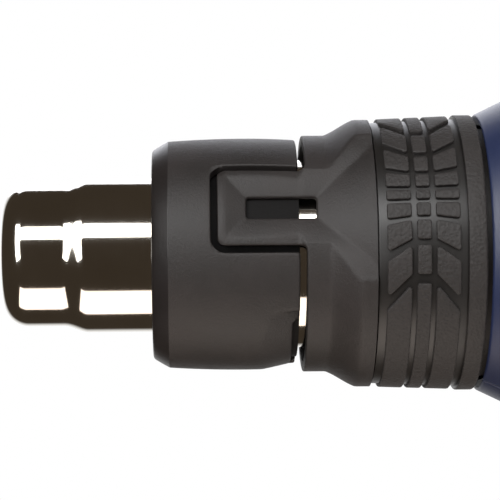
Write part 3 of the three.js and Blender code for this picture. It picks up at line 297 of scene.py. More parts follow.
def soften(corners: Sequence[Point2], radius: float | Sequence[float], steps: int = 4,
           closed: bool = True) -> Profile:
    """Rounds the corners of an outline with arcs.

    Args:
        corners: The outline's corners.
        radius: One radius, or one for each corner; 0 keeps a corner sharp.
        steps: Segments in each arc.
        closed: Whether the outline closes on itself.

    Returns:
        The outline with rounded corners.
    """
    count = len(corners)
    radii = [radius] * count if isinstance(radius, (int, float)) else list(radius)
    result: Profile = []
    for i, corner in enumerate(corners):
        here = Vector(corner)
        if radii[i] <= 0 or (not closed and i in (0, count - 1)):
            result.append(tuple(here))
            continue
        before, after = Vector(corners[i - 1]) - here, Vector(corners[(i + 1) % count]) - here
        turn = before.angle(after, 0.0)
        if turn < 0.02 or turn > math.pi - 0.02:
            result.append(tuple(here))
            continue
        reach = min(radii[i] / math.tan(turn / 2), before.length * 0.48, after.length * 0.48)
        rounding = reach * math.tan(turn / 2)
        start, end = here + before.normalized() * reach, here + after.normalized() * reach
        middle = here + (before.normalized() + after.normalized()).normalized() * (
            rounding / math.sin(turn / 2))
        for k in range(steps + 1):
            share = k / steps
            chord = start.lerp(end, share) - middle
            result.append(tuple(middle + chord.normalized() * rounding))
    return result


def linked(name: str, data: bpy.types.ID) -> bpy.types.Object:
    """Makes an object from its data and adds it to the scene."""
    made = bpy.data.objects.new(name, data)
    bpy.context.scene.collection.objects.link(made)
    return made


def finish_mesh(name: str, bm: bmesh.types.BMesh, finish: Finish, sharp: float = 35.0) -> bpy.types.Object:
    """Turns a bmesh in millimetres to a shown object in metres, with smooth shading and a material.

    Args:
        name: The piece's name.
        bm: The mesh in millimetres; it is freed.
        finish: Its finish.
        sharp: Edges steeper than this many degrees stay sharp.

    Returns:
        The shown piece.
    """
    bmesh.ops.scale(bm, vec=(MM,) * 3, verts=bm.verts)
    bmesh.ops.recalc_face_normals(bm, faces=bm.faces)
    mesh = bpy.data.meshes.new(name)
    bm.to_mesh(mesh)
    bm.free()
    mesh.shade_smooth()
    mesh.set_sharp_from_angle(angle=math.radians(sharp))
    mesh.materials.append(PALETTE.get(finish))
    return linked(name, mesh)


def lathe(profile: Sequence[Point2], steps: int = 160, closed: bool = True) -> bmesh.types.BMesh:
    """Spins a closed profile of (radius, z) points about Z.

    Args:
        profile: The profile's points, in millimetres.
        steps: Segments round the axis.
        closed: Whether the last point joins the first.

    Returns:
        The turned mesh, in millimetres.
    """
    bm = bmesh.new()
    rings = []
    for k in range(steps):
        angle = TAU * k / steps
        c, s = math.cos(angle), math.sin(angle)
        rings.append([bm.verts.new((r * c, r * s, z)) for r, z in profile])
    last = len(profile) if closed else len(profile) - 1
    for k in range(steps):
        here, there = rings[k], rings[(k + 1) % steps]
        for i in range(last):
            j = (i + 1) % len(profile)
            bm.faces.new((here[i], there[i], there[j], here[j]))
    bmesh.ops.remove_doubles(bm, verts=bm.verts, dist=1e-5)
    bmesh.ops.dissolve_degenerate(bm, edges=bm.edges, dist=1e-6)
    return bm


def plate(outer: Sequence[Point2], holes: Iterable[Sequence[Point2]], thickness: float,
          edge: float, edge_steps: int = 3) -> bmesh.types.BMesh:
    """Makes a flat plate in the XY plane with rounded edges, centred on Z = 0.

    Args:
        outer: The outer outline.
        holes: Outlines of the holes.
        thickness: Thickness of the plate.
        edge: Radius of the rounded edges.
        edge_steps: Segments in each rounded edge.

    Returns:
        The plate, in millimetres.
    """
    curve = bpy.data.curves.new("outline", "CURVE")
    curve.dimensions = "2D"
    curve.fill_mode = "BOTH"
    curve.extrude = thickness / 2 - edge
    curve.bevel_depth = edge
    curve.bevel_resolution = edge_steps
    curve.offset = -edge
    for loop in (outer, *holes):
        spline = curve.splines.new("POLY")
        spline.points.add(len(loop) - 1)
        for point, (x, y) in zip(spline.points, loop):
            point.co = (x, y, 0, 1)
        spline.use_cyclic_u = True
    holder = linked("outline", curve)
    mesh = bpy.data.meshes.new_from_object(holder.evaluated_get(bpy.context.evaluated_depsgraph_get()))
    bm = bmesh.new()
    bm.from_mesh(mesh)
    bpy.data.objects.remove(holder)
    bpy.data.curves.remove(curve)
    bpy.data.meshes.remove(mesh)
    bmesh.ops.remove_doubles(bm, verts=bm.verts, dist=1e-4)
    bmesh.ops.recalc_face_normals(bm, faces=bm.faces)
    return bm


def cut_lines(bm: bmesh.types.BMesh, axis: int, places: Iterable[float]) -> None:
    """Cuts a mesh by planes square to an axis, so that it can bend along it.

    Args:
        bm: The mesh to cut.
        axis: 0, 1 or 2 for X, Y or Z.
        places: Where the planes lie, in mm.
    """
    normal = [0.0, 0.0, 0.0]
    normal[axis] = 1.0
    for place in places:
        spot = [0.0, 0.0, 0.0]
        spot[axis] = place
        bmesh.ops.bisect_plane(bm, geom=bm.verts[:] + bm.edges[:] + bm.faces[:], dist=1e-5,
                               plane_co=spot, plane_no=normal)


def keep_between(bm: bmesh.types.BMesh, axis: int, low: float, high: float) -> None:
    """Removes what lies outside two planes square to an axis, and leaves the cuts open."""
    for place, sign in ((low, -1.0), (high, 1.0)):
        spot, normal = [0.0, 0.0, 0.0], [0.0, 0.0, 0.0]
        spot[axis], normal[axis] = place, sign
        bmesh.ops.bisect_plane(bm, geom=bm.verts[:] + bm.edges[:] + bm.faces[:], dist=1e-5,
                               plane_co=spot, plane_no=normal, clear_outer=True)


def wrap(bm: bmesh.types.BMesh, reference: float, thickness: float,
         skin: Callable[[float, float], float]) -> None:
    """Bends a plate round Z: X becomes the angle, Y the height, and Z the depth below the skin.

    Args:
        bm: The plate, centred on Z = 0, with X as arc length at the reference radius.
        reference: The radius at which X is measured.
        thickness: The plate's thickness.
        skin: The outer radius at an angle and a height.
    """
    for vert in bm.verts:
        x, y, z = vert.co
        angle = x / reference
        radius = skin(angle, y) - (thickness / 2 - z)
        vert.co = (radius * math.cos(angle), radius * math.sin(angle), y)
    bmesh.ops.remove_doubles(bm, verts=bm.verts, dist=1e-3)


def wrapped(angle: np.ndarray) -> np.ndarray:
    """Brings angles to the range from minus to plus half a turn."""
    return np.mod(angle + math.pi, TAU) - math.pi


def eased(share: np.ndarray) -> np.ndarray:
    """Eases shares from 0 to 1 with flat ends."""
    share = np.clip(share, 0, 1)
    return share * share * (3 - 2 * share)


def round_max(first: np.ndarray, second: np.ndarray, radius: float) -> np.ndarray:
    """Intersection of two distance fields, with its corner rounded."""
    both = np.hypot(np.maximum(first + radius, 0), np.maximum(second + radius, 0))
    return np.minimum(np.maximum(first, second), -radius) + both


def lines(low: float, high: float, step: float, sharp: Sequence[float], unit: float = 1.0) -> np.ndarray:
    """Grid lines between two limits, closer together beside the places where an edge is rounded.

    Args:
        low: First line.
        high: Last line.
        step: Spacing away from edges.
        sharp: Places of the edges.
        unit: What one millimetre is in these lines' own unit.

    Returns:
        The lines in order.
    """
    close = [0.0, 0.07, 0.16, 0.29, 0.46]
    fixed = sorted({place + sign * gap * unit for place in sharp for gap in close for sign in (-1, 1)})
    fixed = [low, *[f for f in fixed if low < f < high], high]
    found = [low]
    for start, end in zip(fixed, fixed[1:]):
        count = max(1, round((end - start) / step))
        found += [start + (end - start) * k / count for k in range(1, count + 1)]
    return np.array(found)


def curved_shell(angles: np.ndarray, heights: np.ndarray,
                 distance: Callable[[np.ndarray, np.ndarray], np.ndarray],
                 skin: Callable[[np.ndarray, np.ndarray], np.ndarray],
                 wall: float, edge: float, reference: float, least: float = 0.0) -> bmesh.types.BMesh:
    """Makes a wall that runs round Z, cut to an outline, with its outer edges rounded.

    Args:
        angles: Grid lines round Z, which close on themselves.
        heights: Grid lines along Z.
        distance: Signed distance from the outline in millimetres, negative in the material.
        skin: Outer radius.
        wall: Thickness of the wall.
        edge: Radius of the rounded edges.
        reference: Radius at which arc lengths are measured.
        least: Least inner radius, which keeps the wall clear of what runs inside it.

    Returns:
        The wall, in millimetres.
    """
    around, up = np.meshgrid(angles, heights, indexing="ij")
    gap, nudge = distance(around, up), 0.02
    slope_a = (distance(around + nudge / reference, up) - distance(around - nudge / reference, up)) / 0.04
    slope_h = (distance(around, up + nudge) - distance(around, up - nudge)) / 0.04
    width = np.mod(np.roll(angles, -1) - np.roll(angles, 1), TAU) / 2 * reference
    steep = np.maximum(slope_a ** 2 + slope_h ** 2, 0.25)
    reach = 0.5 * (np.abs(slope_a) * width[:, None] + np.abs(slope_h) * np.gradient(heights)[None, :])
    near = np.abs(gap) <= reach / np.sqrt(steep)
    around = np.where(near, around - gap * slope_a / steep / reference, around)
    up = np.where(near, up - gap * slope_h / steep, up)
    gap = np.where(near, 0.0, gap)
    kept = gap <= 1e-6
    short = np.clip(edge + gap, 0, edge)
    outer = skin(around, up) - (edge - np.sqrt(edge ** 2 - short ** 2))
    inner = np.maximum(skin(around, up) - wall, least)
    index = np.arange(gap.size).reshape(gap.shape)
    outside, inside = (np.stack([r * np.cos(around), r * np.sin(around), up], -1).reshape(-1, 3)
                       for r in (outer, inner))
    corners = np.stack([index[:, :-1], np.roll(index, -1, 0)[:, :-1], np.roll(index, -1, 0)[:, 1:],
                        index[:, 1:]], -1).reshape(-1, 4)
    held = kept.reshape(-1)[corners]
    faces = [tuple(map(int, c[h])) for c, h in zip(corners, held) if h.sum() >= 3]
    return thickened(outside, inside, faces)


def mesh_from(points: np.ndarray, faces: Sequence[tuple[int, ...]]) -> bmesh.types.BMesh:
    """Makes a mesh from points and faces, without loose points.

    Args:
        points: One row for each point.
        faces: Indices of the points round each face.

    Returns:
        The mesh.
    """
    spare = bpy.data.meshes.new("spare")
    spare.from_pydata([tuple(map(float, p)) for p in points], [], faces)
    bm = bmesh.new()
    bm.from_mesh(spare)
    bpy.data.meshes.remove(spare)
    bmesh.ops.delete(bm, geom=[v for v in bm.verts if not v.link_faces], context="VERTS")
    return bm


def thickened(outside: np.ndarray, inside: np.ndarray,
              faces: Sequence[tuple[int, ...]]) -> bmesh.types.BMesh:
    """Closes an open surface with a second one under it and walls along its borders.

    Args:
        outside: Points of the shown surface.
        inside: The point under each of them.
        faces: Faces of the shown surface.

    Returns:
        The closed mesh.
    """
    count = len(outside)
    rims = {(f[k], f[(k + 1) % len(f)]) for f in faces for k in range(len(f))}
    sides = [(b, a, a + count, b + count) for a, b in rims if (b, a) not in rims]
    under = [tuple(v + count for v in f[::-1]) for f in faces]
    return mesh_from(np.concatenate([outside, inside]), [*faces, *under, *sorted(sides)])


def rounding(depth: np.ndarray, radius: float) -> np.ndarray:
    """How far a rounded edge drops at a distance from the border."""
    short = np.clip(radius - depth, 0, radius)
    return radius - np.sqrt(radius ** 2 - short ** 2)


def tool(name: str, bm: bmesh.types.BMesh, turn: Matrix, place: Vector) -> bpy.types.Object:
    """Turns a mesh in millimetres to a cutting tool at a place.

    Args:
        name: The tool's name.
        bm: The mesh; it is freed.
        turn: Its rotation.
        place: Where its origin goes, in mm.

    Returns:
        The tool.
    """
    bmesh.ops.transform(bm, matrix=Matrix.Scale(MM, 4) @ Matrix.Translation(place) @ turn, verts=bm.verts)
    mesh = bpy.data.meshes.new(name)
    bm.to_mesh(mesh)
    bm.free()
    return linked(name, mesh)


def box_tool(middle: Vector, size: tuple[float, float, float], lean: float) -> bpy.types.Object:
    """A box with rounded upright edges, leaning about Y.

    Args:
        middle: Its middle, in mm.
        size: Its size along X, Y and Z.
        lean: Its lean in radians.

    Returns:
        The tool.
    """
    bm = bmesh.new()
    bmesh.ops.create_cube(bm, size=1)
    bmesh.ops.scale(bm, vec=size, verts=bm.verts)
    upright = [e for e in bm.edges if abs(e.verts[0].co.z - e.verts[1].co.z) > 1]
    bmesh.ops.bevel(bm, geom=upright, offset=1.2, segments=4, profile=0.5, affect="EDGES")
    return tool("box_tool", bm, Matrix.Rotation(lean, 4, "Y"), middle)


def cylinder(radius: float, depth: float, segments: int = 48) -> bmesh.types.BMesh:
    """A closed cylinder round Z, centred on the origin."""
    bm = bmesh.new()
    bmesh.ops.create_cone(bm, cap_ends=True, segments=segments, radius1=radius, radius2=radius, depth=depth)
    return bm


def wheel_tool(middle: Vector, radius: float, width: float) -> bpy.types.Object:
    """A disc that turns about Y, for the thumbwheel's slot."""
    return tool("wheel_tool", cylinder(radius, width), Matrix.Rotation(math.pi / 2, 4, "X"), middle)


def rod_tool(middle: Vector, radius: float, depth: float) -> bpy.types.Object:
    """A rod along X, for the cable inlet."""
    return tool("rod_tool", cylinder(radius, depth * 2), Matrix.Rotation(math.pi / 2, 4, "Y"), middle)


def well_tool(head: Vector, radius: float, reach: float) -> bpy.types.Object:
    """A rod along Y that starts at a screw's head and runs outwards."""
    middle = head + Vector((0, reach / 2, 0))
    return tool("well_tool", cylinder(radius, abs(reach)), Matrix.Rotation(math.pi / 2, 4, "X"), middle)


def cut_out(piece: bpy.types.Object, cutters: list[bpy.types.Object]) -> None:
    """Cuts tools out of a piece and removes the tools.

    Args:
        piece: The piece to cut.
        cutters: The tools; they are removed.
    """
    for cutter in cutters:
        cut = piece.modifiers.new("cut", "BOOLEAN")
        cut.operation, cut.solver, cut.object = "DIFFERENCE", "EXACT", cutter
    graph = bpy.context.evaluated_depsgraph_get()
    mesh = bpy.data.meshes.new_from_object(piece.evaluated_get(graph))
    old = piece.data
    piece.modifiers.clear()
    piece.data = mesh
    bpy.data.meshes.remove(old)
    for cutter in cutters:
        bpy.data.objects.remove(cutter)


def join(target: bmesh.types.BMesh, *others: bmesh.types.BMesh) -> bmesh.types.BMesh:
    """Adds other meshes to the first, and frees them."""
    for other in others:
        spare = bpy.data.meshes.new("spare")
        other.to_mesh(spare)
        target.from_mesh(spare)
        bpy.data.meshes.remove(spare)
        other.free()
    return target


def steps_between(low: float, high: float, step: float) -> list[float]:
    """Evenly spaced places between two limits, without the limits themselves."""
    count = max(1, round((high - low) / step))
    return [low + (high - low) * k / count for k in range(1, count)]


def smooth(share: float) -> float:
    """Eases a share from 0 to 1 with flat ends."""
    share = min(1.0, max(0.0, share))
    return share * share * (3 - 2 * share)


def place_piece(piece: bpy.types.Object, body: str, *nodes: str) -> bpy.types.Object:
    """Rides a finished piece on a body, in place of CAD nodes, and logs it."""
    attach(piece, body)
    if nodes:
        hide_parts(*nodes)
    LOG.info("%s: %d faces on %s", piece.name, len(piece.data.polygons), body)
    return piece


@lru_cache(maxsize=None)
def top_of(node: str) -> float:
    """Height of a node's top, in millimetres."""
    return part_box(node)[1][2] / MM


@lru_cache(maxsize=None)
def foot_of(node: str) -> float:
    """Height of a node's bottom, in millimetres."""
    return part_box(node)[0][2] / MM


# ------------------------------------------------------------------ nozzle


@dataclass
class Nozzle:
    """Drawn steel nozzle: a rolled lip, a step, and a wider sleeve inside the collar and neck."""

    outlet: float = 17.25
    step: float = 18.85
    sleeve: float = 23.0
    wall: float = 0.8
    lip_inset: float = 5.6
    lip_length: float = 6.0
    outlet_length: float = 14.3
    step_length: float = 6.2
    flare_at: float = 40.5
    flare_length: float = 6.0
    flange_width: float = 4.6
    flange_thickness: float = 1.2

    def side(self, inset: float) -> Profile:
        """The tube's wall from the sleeve's rear up to the lip, set in from the outside."""
        tip, foot = top_of("nozzle_tube"), foot_of("nozzle_tube")
        points: Profile = [(self.sleeve - inset, foot)]
        for share in np.linspace(0, 1, 13):
            radius = self.sleeve + (self.step - self.sleeve) * smooth(share)
            points.append((radius - inset, tip - self.flare_at - self.flare_length * (1 - share)))
        for share in np.linspace(0, 1, 15):
            radius = self.step + (self.outlet - self.step) * smooth(share)
            points.append((radius - inset, tip - self.outlet_length - self.step_length * (1 - share)))
        for share in np.linspace(0, 1, 17):
            angle = share * math.pi / 2
            points.append((self.outlet - self.lip_inset + (self.lip_inset - inset) * math.cos(angle),
                           tip - self.lip_length + (self.lip_length - inset) * math.sin(angle)))
        return points

    def build(self) -> None:
        """Makes the tube with its rear flange."""
        foot = foot_of("nozzle_tube")
        outer = self.side(0.0)
        flange = self.sleeve + self.flange_width
        base = [(flange, foot), (flange, foot + self.flange_thickness),
                (self.sleeve, foot + self.flange_thickness)]
        inner = self.side(self.wall)
        piece = finish_mesh("nozzle", lathe(base + outer[1:] + inner[::-1], 192), POLISHED_STEEL, 60)
        place_piece(piece, "gun", "nozzle_tube")


# ------------------------------------------------------------------ collar and neck


@dataclass
class Tongue:
    """Side tongue of the neck, its gap to the collar, and the sloping recess round its slot."""

    width: float = 19.6
    length: float = 20.9
    corner: float = 1.9
    gap: float = 1.6
    gap_corner: float = 3.4
    slot_length: float = 16.6
    slot_width: float = 5.8
    slot_setback: float = 6.8
    recess_margin: float = 5.2
    recess_depth: float = 2.0
    sides: tuple[float, float] = (math.pi / 2, math.pi * 1.5)

    crown: float = 28.35

    def around(self, x: float) -> float:
        """Angle of a point that lies x beside a side's middle."""
        return math.asin(x / self.crown)

    def nearest(self, angle: np.ndarray) -> np.ndarray:
        """Angle from the nearer side's middle."""
        return np.mod(angle, math.pi) - math.pi / 2

    def box(self, angle: np.ndarray, height: np.ndarray, half: float, low: float, high: float,
            corner: float) -> np.ndarray:
        """Signed distance from a rounded box that lies round each side's middle."""
        across = np.abs(self.nearest(angle)) - self.around(half)
        across = across * self.crown + corner
        along = np.abs(height - (low + high) / 2) - (high - low) / 2 + corner
        outside = np.hypot(np.maximum(across, 0), np.maximum(along, 0))
        return outside + np.minimum(np.maximum(across, along), 0) - corner


TONGUE = Tongue()


@dataclass
class Collar:
    """Pull-off collar: a chamfered, slightly crowned sleeve with cut-outs for the tongues."""

    face: float = 25.3
    shoulder: float = 27.7
    crown: float = 28.35
    end: float = 27.9
    chamfer: float = 3.9
    crown_at: float = 22.3
    wall: float = 2.4
    face_wall: float = 2.5
    bore: float = 19.75
    vents: int = 12
    vent_width: float = 3.2
    taper_length: float = 9.0
    taper_depth: float = 1.45
    taper_half: float = 17.0
    notch_depth: float = 1.5
    edge: float = 0.45
    liner: Point2 = (24.3, 25.2)

    def skin(self, angle: np.ndarray, height: np.ndarray) -> np.ndarray:
        """Outer radius at an angle and a height."""
        down = top_of("collar") - height
        length = top_of("collar") - foot_of("collar")
        share = np.clip(down / self.chamfer, 0, 1)
        front = self.face + (self.shoulder - self.face) * share ** 0.88
        rise = (down - self.crown_at) / (self.crown_at - self.chamfer)
        fall = (down - self.crown_at) / (length - self.crown_at)
        middle = self.crown - (self.crown - self.shoulder) * rise ** 2
        rear = self.crown - (self.crown - self.end) * fall ** 2
        radius = np.where(down < self.chamfer, front, np.where(down < self.crown_at, middle, rear))
        under = np.abs(wrapped(angle - math.pi))
        half = math.asin(self.taper_half / self.crown)
        fold = self.taper_length * np.sqrt(np.clip(1 - 0.45 * (under / half) ** 2, 0.05, 1))
        slope = np.clip((down - (length - fold)) / fold, 0, 1)
        return radius - self.taper_depth * slope * eased((half - under) * self.crown / 0.9)

    def distance(self, angle: np.ndarray, height: np.ndarray) -> np.ndarray:
        """Signed distance from the sleeve's outline, negative in its material."""
        top, foot = top_of("collar"), foot_of("collar")
        under = np.abs(wrapped(angle - math.pi)) * self.crown
        rear = foot + self.notch_depth * eased((self.taper_half - 2.5 - under) / 1.6 + 0.5)
        inside = np.maximum(rear - height, height - top)
        cut = TONGUE.box(angle, height, TONGUE.width / 2 + TONGUE.gap, foot - 20.0,
                         foot - TONGUE.gap + TONGUE.length + TONGUE.gap, TONGUE.gap_corner)
        return round_max(inside, -cut, 0.7)

    def build(self) -> None:
        """Makes the sleeve and its vented front face as one piece."""
        top, foot = top_of("collar"), foot_of("collar")
        half = TONGUE.width / 2 + TONGUE.gap
        edges = [side + sign * TONGUE.around(half) for side in TONGUE.sides for sign in (-1, 1)]
        notch = (self.taper_half - 2.5) / self.crown
        angles = lines(0.0, TAU, 0.75 / self.crown,
                       [*edges, math.pi - notch, math.pi + notch], 1 / self.crown)
        heights = lines(foot - 1.0, top + 0.5, 0.75,
                        [foot, foot + self.notch_depth, foot + TONGUE.length, top, top - self.chamfer])
        bm = curved_shell(angles[:-1], heights, self.distance, self.skin, self.wall, self.edge, self.crown)
        low, high = self.liner
        liner = lathe([(low, foot), (high, foot), (high, top - 2), (low, top - 2)], 128)
        bm = join(bm, self.front_face(), liner)
        piece = finish_mesh("collar_sleeve", bm, BLACK_NYLON, 40)
        piece.data.materials.append(PALETTE.get(SMOOTH_NYLON))
        piece.data.materials.append(PALETTE.get(SHADE_BLACK_NYLON))
        # The liner and the sleeve's inside take the near-black nylon as painted shade; faces above the
        # chamfer line take the smoother nylon.
        smooth_from, painted_shade_within = (top - self.chamfer) * MM, (high + 0.05) * MM
        for polygon in piece.data.polygons:
            x, y, z = polygon.center
            inside = math.hypot(x, y) < painted_shade_within and z < (top - self.face_wall - 0.2) * MM
            polygon.material_index = 2 if inside else int(z > smooth_from)
        place_piece(piece, "collar", "collar")

    def front_face(self) -> bmesh.types.BMesh:
        """The annular front face with a ring of vents round the nozzle."""
        top = top_of("collar")
        circle = [(math.cos(TAU * k / 120), math.sin(TAU * k / 120)) for k in range(120)]
        outer = self.face - 0.25
        holes = [[(self.bore * x, self.bore * y) for x, y in circle]]
        low, high = self.bore + 1.0, outer - 2.0
        for k in range(self.vents):
            middle = TAU * (k + 0.5) / self.vents
            corners = [(low, -self.vent_width / 2), (high, -self.vent_width / 2),
                       (high, self.vent_width / 2), (low, self.vent_width / 2)]
            c, s = math.cos(middle), math.sin(middle)
            holes.append([(x * c - y * s, x * s + y * c) for x, y in soften(corners, 0.6, 4)])
        bm = plate([(outer * x, outer * y) for x, y in circle], holes, self.face_wall, 0.35)
        bmesh.ops.translate(bm, vec=(0, 0, top - self.face_wall / 2 - 0.1), verts=bm.verts)
        return bm


COLLAR = Collar()


@dataclass
class Neck:
    """Front neck: two tongues, a short cylinder, a cone and the band in front of the tread."""

    radius: float = 28.95
    band: float = 32.75
    straight: float = 5.5
    cone: float = 7.3
    band_length: float = 3.4
    wall: float = 2.6
    edge: float = 0.4

    def front(self) -> float:
        """Height of the neck's front edge beside the tongues."""
        return foot_of("collar") - TONGUE.gap

    def slot_top(self) -> float:
        """Height of the front end of the slot in each tongue."""
        return self.front() + TONGUE.length - TONGUE.slot_setback

    def skin(self, angle: np.ndarray, height: np.ndarray) -> np.ndarray:
        """Outer radius at an angle and a height, with the recess in each tongue."""
        down = self.front() - height
        on_tongue = COLLAR.skin(np.full_like(angle, math.pi / 2), height)
        on_tongue = on_tongue + (self.radius - on_tongue) * eased(1 + down / 2.0)
        share = np.clip((down - self.straight) / self.cone, 0, 1)
        body = self.radius + (self.band - self.radius) * (0.7 * share + 0.3 * eased(share))
        radius = np.where(down < 0, on_tongue, body)
        return np.minimum(radius, self.recess(angle, height, radius))

    def recess(self, angle: np.ndarray, height: np.ndarray, radius: np.ndarray) -> np.ndarray:
        """Radius of the recess's sloping walls, which rise from the slot's edges."""
        high = self.slot_top()
        low = high - TONGUE.slot_length
        across = np.abs(radius * np.sin(TONGUE.nearest(angle))) - TONGUE.slot_width / 2
        along = np.maximum(low - height, height - high)
        out = np.clip(np.maximum(across, along), 0, None)
        slope = TONGUE.recess_depth / TONGUE.recess_margin
        floor = COLLAR.crown - TONGUE.recess_depth + slope * out
        return np.where(np.abs(TONGUE.nearest(angle)) < 0.6, floor, 1e3)

    def distance(self, angle: np.ndarray, height: np.ndarray) -> np.ndarray:
        """Signed distance from the neck's outline, negative in its material."""
        front = self.front()
        tongue = TONGUE.box(angle, height, TONGUE.width / 2, front - 20.0, front + TONGUE.length,
                            TONGUE.corner)
        high = self.slot_top()
        slot = TONGUE.box(angle, height, TONGUE.slot_width / 2, high - TONGUE.slot_length, high, 0.7)
        return np.maximum(-round_max(-(height - front), -tongue, 1.4), -slot)

    def build(self) -> None:
        """Makes the neck and its hidden rear barrel, which carries the tread ring."""
        front = self.front()
        foot = front - self.straight - self.cone - self.band_length
        high = self.slot_top()
        halves = (TONGUE.width / 2, TONGUE.slot_width / 2)
        edges = [side + sign * TONGUE.around(half) for side in TONGUE.sides for half in halves
                 for sign in (-1, 1)]
        angles = lines(0.0, TAU, 0.6 / self.radius, edges, 1 / self.radius)
        heights = lines(foot, front + TONGUE.length + 1.0, 0.6,
                        [front, front + TONGUE.length, high, high - TONGUE.slot_length])
        bm = curved_shell(angles[:-1], heights, self.distance, self.skin, self.wall, self.edge,
                          self.radius, COLLAR.liner[1] + 0.3)
        seat, lip, rear = 30.4, 32.9, foot_of("neck")
        under = [(seat, foot + 0.6), (seat, rear + 2.6), (lip, rear + 2.6), (lip, rear),
                 (seat - 2.4, rear), (seat - 2.4, foot + 0.6)]
        bm = join(bm, lathe(soften(under, 0.25, 2), 128))
        piece = finish_mesh("front_neck", bm, BLACK_NYLON, 40)
        place_piece(piece, "gun", "neck")


NECK = Neck()


# ------------------------------------------------------------------ tread ring


@dataclass
class TreadRing:
    """Soft rubber ring with a tyre-like tread centred on each side of the gun.

    The cross grooves are given as pairs of angles from a side's middle: once where they cross the
    middle band and once where they reach the ring's outer bands, so that they slant like a chevron.
    """

    front: float = 32.8
    rear: float = 33.75
    seat: float = 30.8
    depth: float = 0.85
    bands: tuple[Point2, ...] = ((1.9, 7.6), (8.8, 12.1), (13.3, 18.9))
    rear_band: Point2 = (20.7, 25.1)
    inner: tuple[Point2, ...] = ((2.0, 3.6), (9.2, 10.9), (18.8, 21.2), (33.0, 37.0))
    outer: tuple[Point2, ...] = ((2.2, 3.9), (10.5, 13.0), (24.0, 28.0), (43.0, 48.7))
    reference: float = 33.0
    edge: float = 0.28
    corner: float = 0.55
    root: float = 0.5

    def skin(self, height: float) -> float:
        """Outer radius of the block faces at a height."""
        share = (top_of("tread_ring") - height) / (top_of("tread_ring") - foot_of("tread_ring"))
        return self.front + (self.rear - self.front) * share

    def base(self) -> bmesh.types.BMesh:
        """The ring under the blocks, whose outside is the groove floor."""
        top, foot = top_of("tread_ring"), foot_of("tread_ring")
        floor_top, floor_foot = self.skin(top) - self.depth, self.skin(foot) - self.depth
        corners = [(floor_top, top), (self.seat, top), (self.seat, foot), (floor_foot, foot)]
        return lathe(soften(corners, 0.15, 2), 160)

    def block(self, corners: Sequence[Point2]) -> bmesh.types.BMesh:
        """One rubber block from corners given as (degrees from the side's middle, mm from the front)."""
        top = top_of("tread_ring")
        flat = [(math.radians(angle) * self.reference, top - down) for angle, down in corners]
        thickness = self.depth + self.root
        bm = plate(soften(flat, self.corner, 4), [], thickness, self.edge, 2)
        xs = [p[0] for p in flat]
        cut_lines(bm, 0, steps_between(min(xs), max(xs), 1.1))
        wrap(bm, self.reference, thickness, lambda angle, height: self.skin(height))
        return bm

    def edges_of(self, band: int) -> list[tuple[Point2, Point2]]:
        """The sides of a band's blocks: (left, right) angles at its front and rear edges.

        Args:
            band: 0 for the front band, 1 for the middle one, 2 for the rear one.

        Returns:
            For each block on the positive side, its angles at the front edge and the rear edge.
        """
        at_middle = [0.0] + [a for pair in self.inner for a in pair]
        at_outside = [0.0] + [a for pair in self.outer for a in pair]
        front = at_outside if band == 0 else at_middle
        rear = at_outside if band == 2 else at_middle
        return [((front[i], front[i + 1]), (rear[i], rear[i + 1])) for i in range(0, len(front) - 1, 2)]

    def side_blocks(self) -> bmesh.types.BMesh:
        """All blocks from one side's middle round to the other side's tread."""
        whole = bmesh.new()
        for band, (start, end) in enumerate(self.bands):
            for index, ((fa, fb), (ra, rb)) in enumerate(self.edges_of(band)):
                if index == 0:
                    join(whole, self.block([(-fb, start), (fb, start), (rb, end), (-rb, end)]))
                    continue
                join(whole, self.block([(fa, start), (fb, start), (rb, end), (ra, end)]))
                join(whole, self.block([(-fb, start), (-fa, start), (-ra, end), (-rb, end)]))
            last_front = (self.outer if band == 0 else self.inner)[-1][1]
            last_rear = (self.outer if band == 2 else self.inner)[-1][1]
            join(whole, self.block([(last_front, start), (180 - last_front, start),
                                    (180 - last_rear, end), (last_rear, end)]))
        return whole

    def band_ring(self) -> bmesh.types.BMesh:
        """The plain band along the ring's rear edge."""
        start, end = self.rear_band
        top = top_of("tread_ring")
        outer, inner = self.skin(top - end), self.skin(top - end) - self.depth - self.root
        corners = [(outer, top - start), (outer, top - end), (inner, top - end), (inner, top - start)]
        return lathe(soften(corners, [0.3, 0.75, 0.1, 0.1], 4), 160)

    def build(self) -> None:
        """Makes the ring: floor, blocks on both sides, and the rear band."""
        source = finish_mesh("tread_side", self.side_blocks(), TREAD_RUBBER, 45)
        both = radial_copies(source, "tread_blocks", 2, math.pi / 2, TREAD_RUBBER)
        bm = join(self.base(), self.band_ring())
        piece = finish_mesh("tread", bm, SMOOTH_RUBBER, 40)
        piece.data.materials.append(PALETTE.get(TREAD_RUBBER))
        floor = (self.skin(top_of("tread_ring")) - self.depth + 0.35) * MM
        for polygon in piece.data.polygons:
            x, y, z = polygon.center
            band = z < (top_of("tread_ring") - self.rear_band[0]) * MM and math.hypot(x, y) > floor
            polygon.material_index = int(band)
        place_piece(piece, "gun", "tread_ring")
        place_piece(both, "gun")


# ------------------------------------------------------------------ housing


def bezier(*points: Point2, steps: int = 14) -> Profile:
    """Points along a quadratic or cubic curve, without its first point."""
    result: Profile = []
    for share in np.linspace(0, 1, steps + 1)[1:]:
        layer = [Vector(p) for p in points]
        while len(layer) > 1:
            layer = [a.lerp(b, share) for a, b in zip(layer, layer[1:])]
        result.append(tuple(layer[0]))
    return result


def quarter(middle: Point2, radius: float, start: float, steps: int = 8) -> Profile:
    """Points along a quarter circle, turning left from a start angle, with both ends."""
    return [(middle[0] + radius * math.cos(start + math.pi / 2 * k / steps),
             middle[1] + radius * math.sin(start + math.pi / 2 * k / steps)) for k in range(steps + 1)]


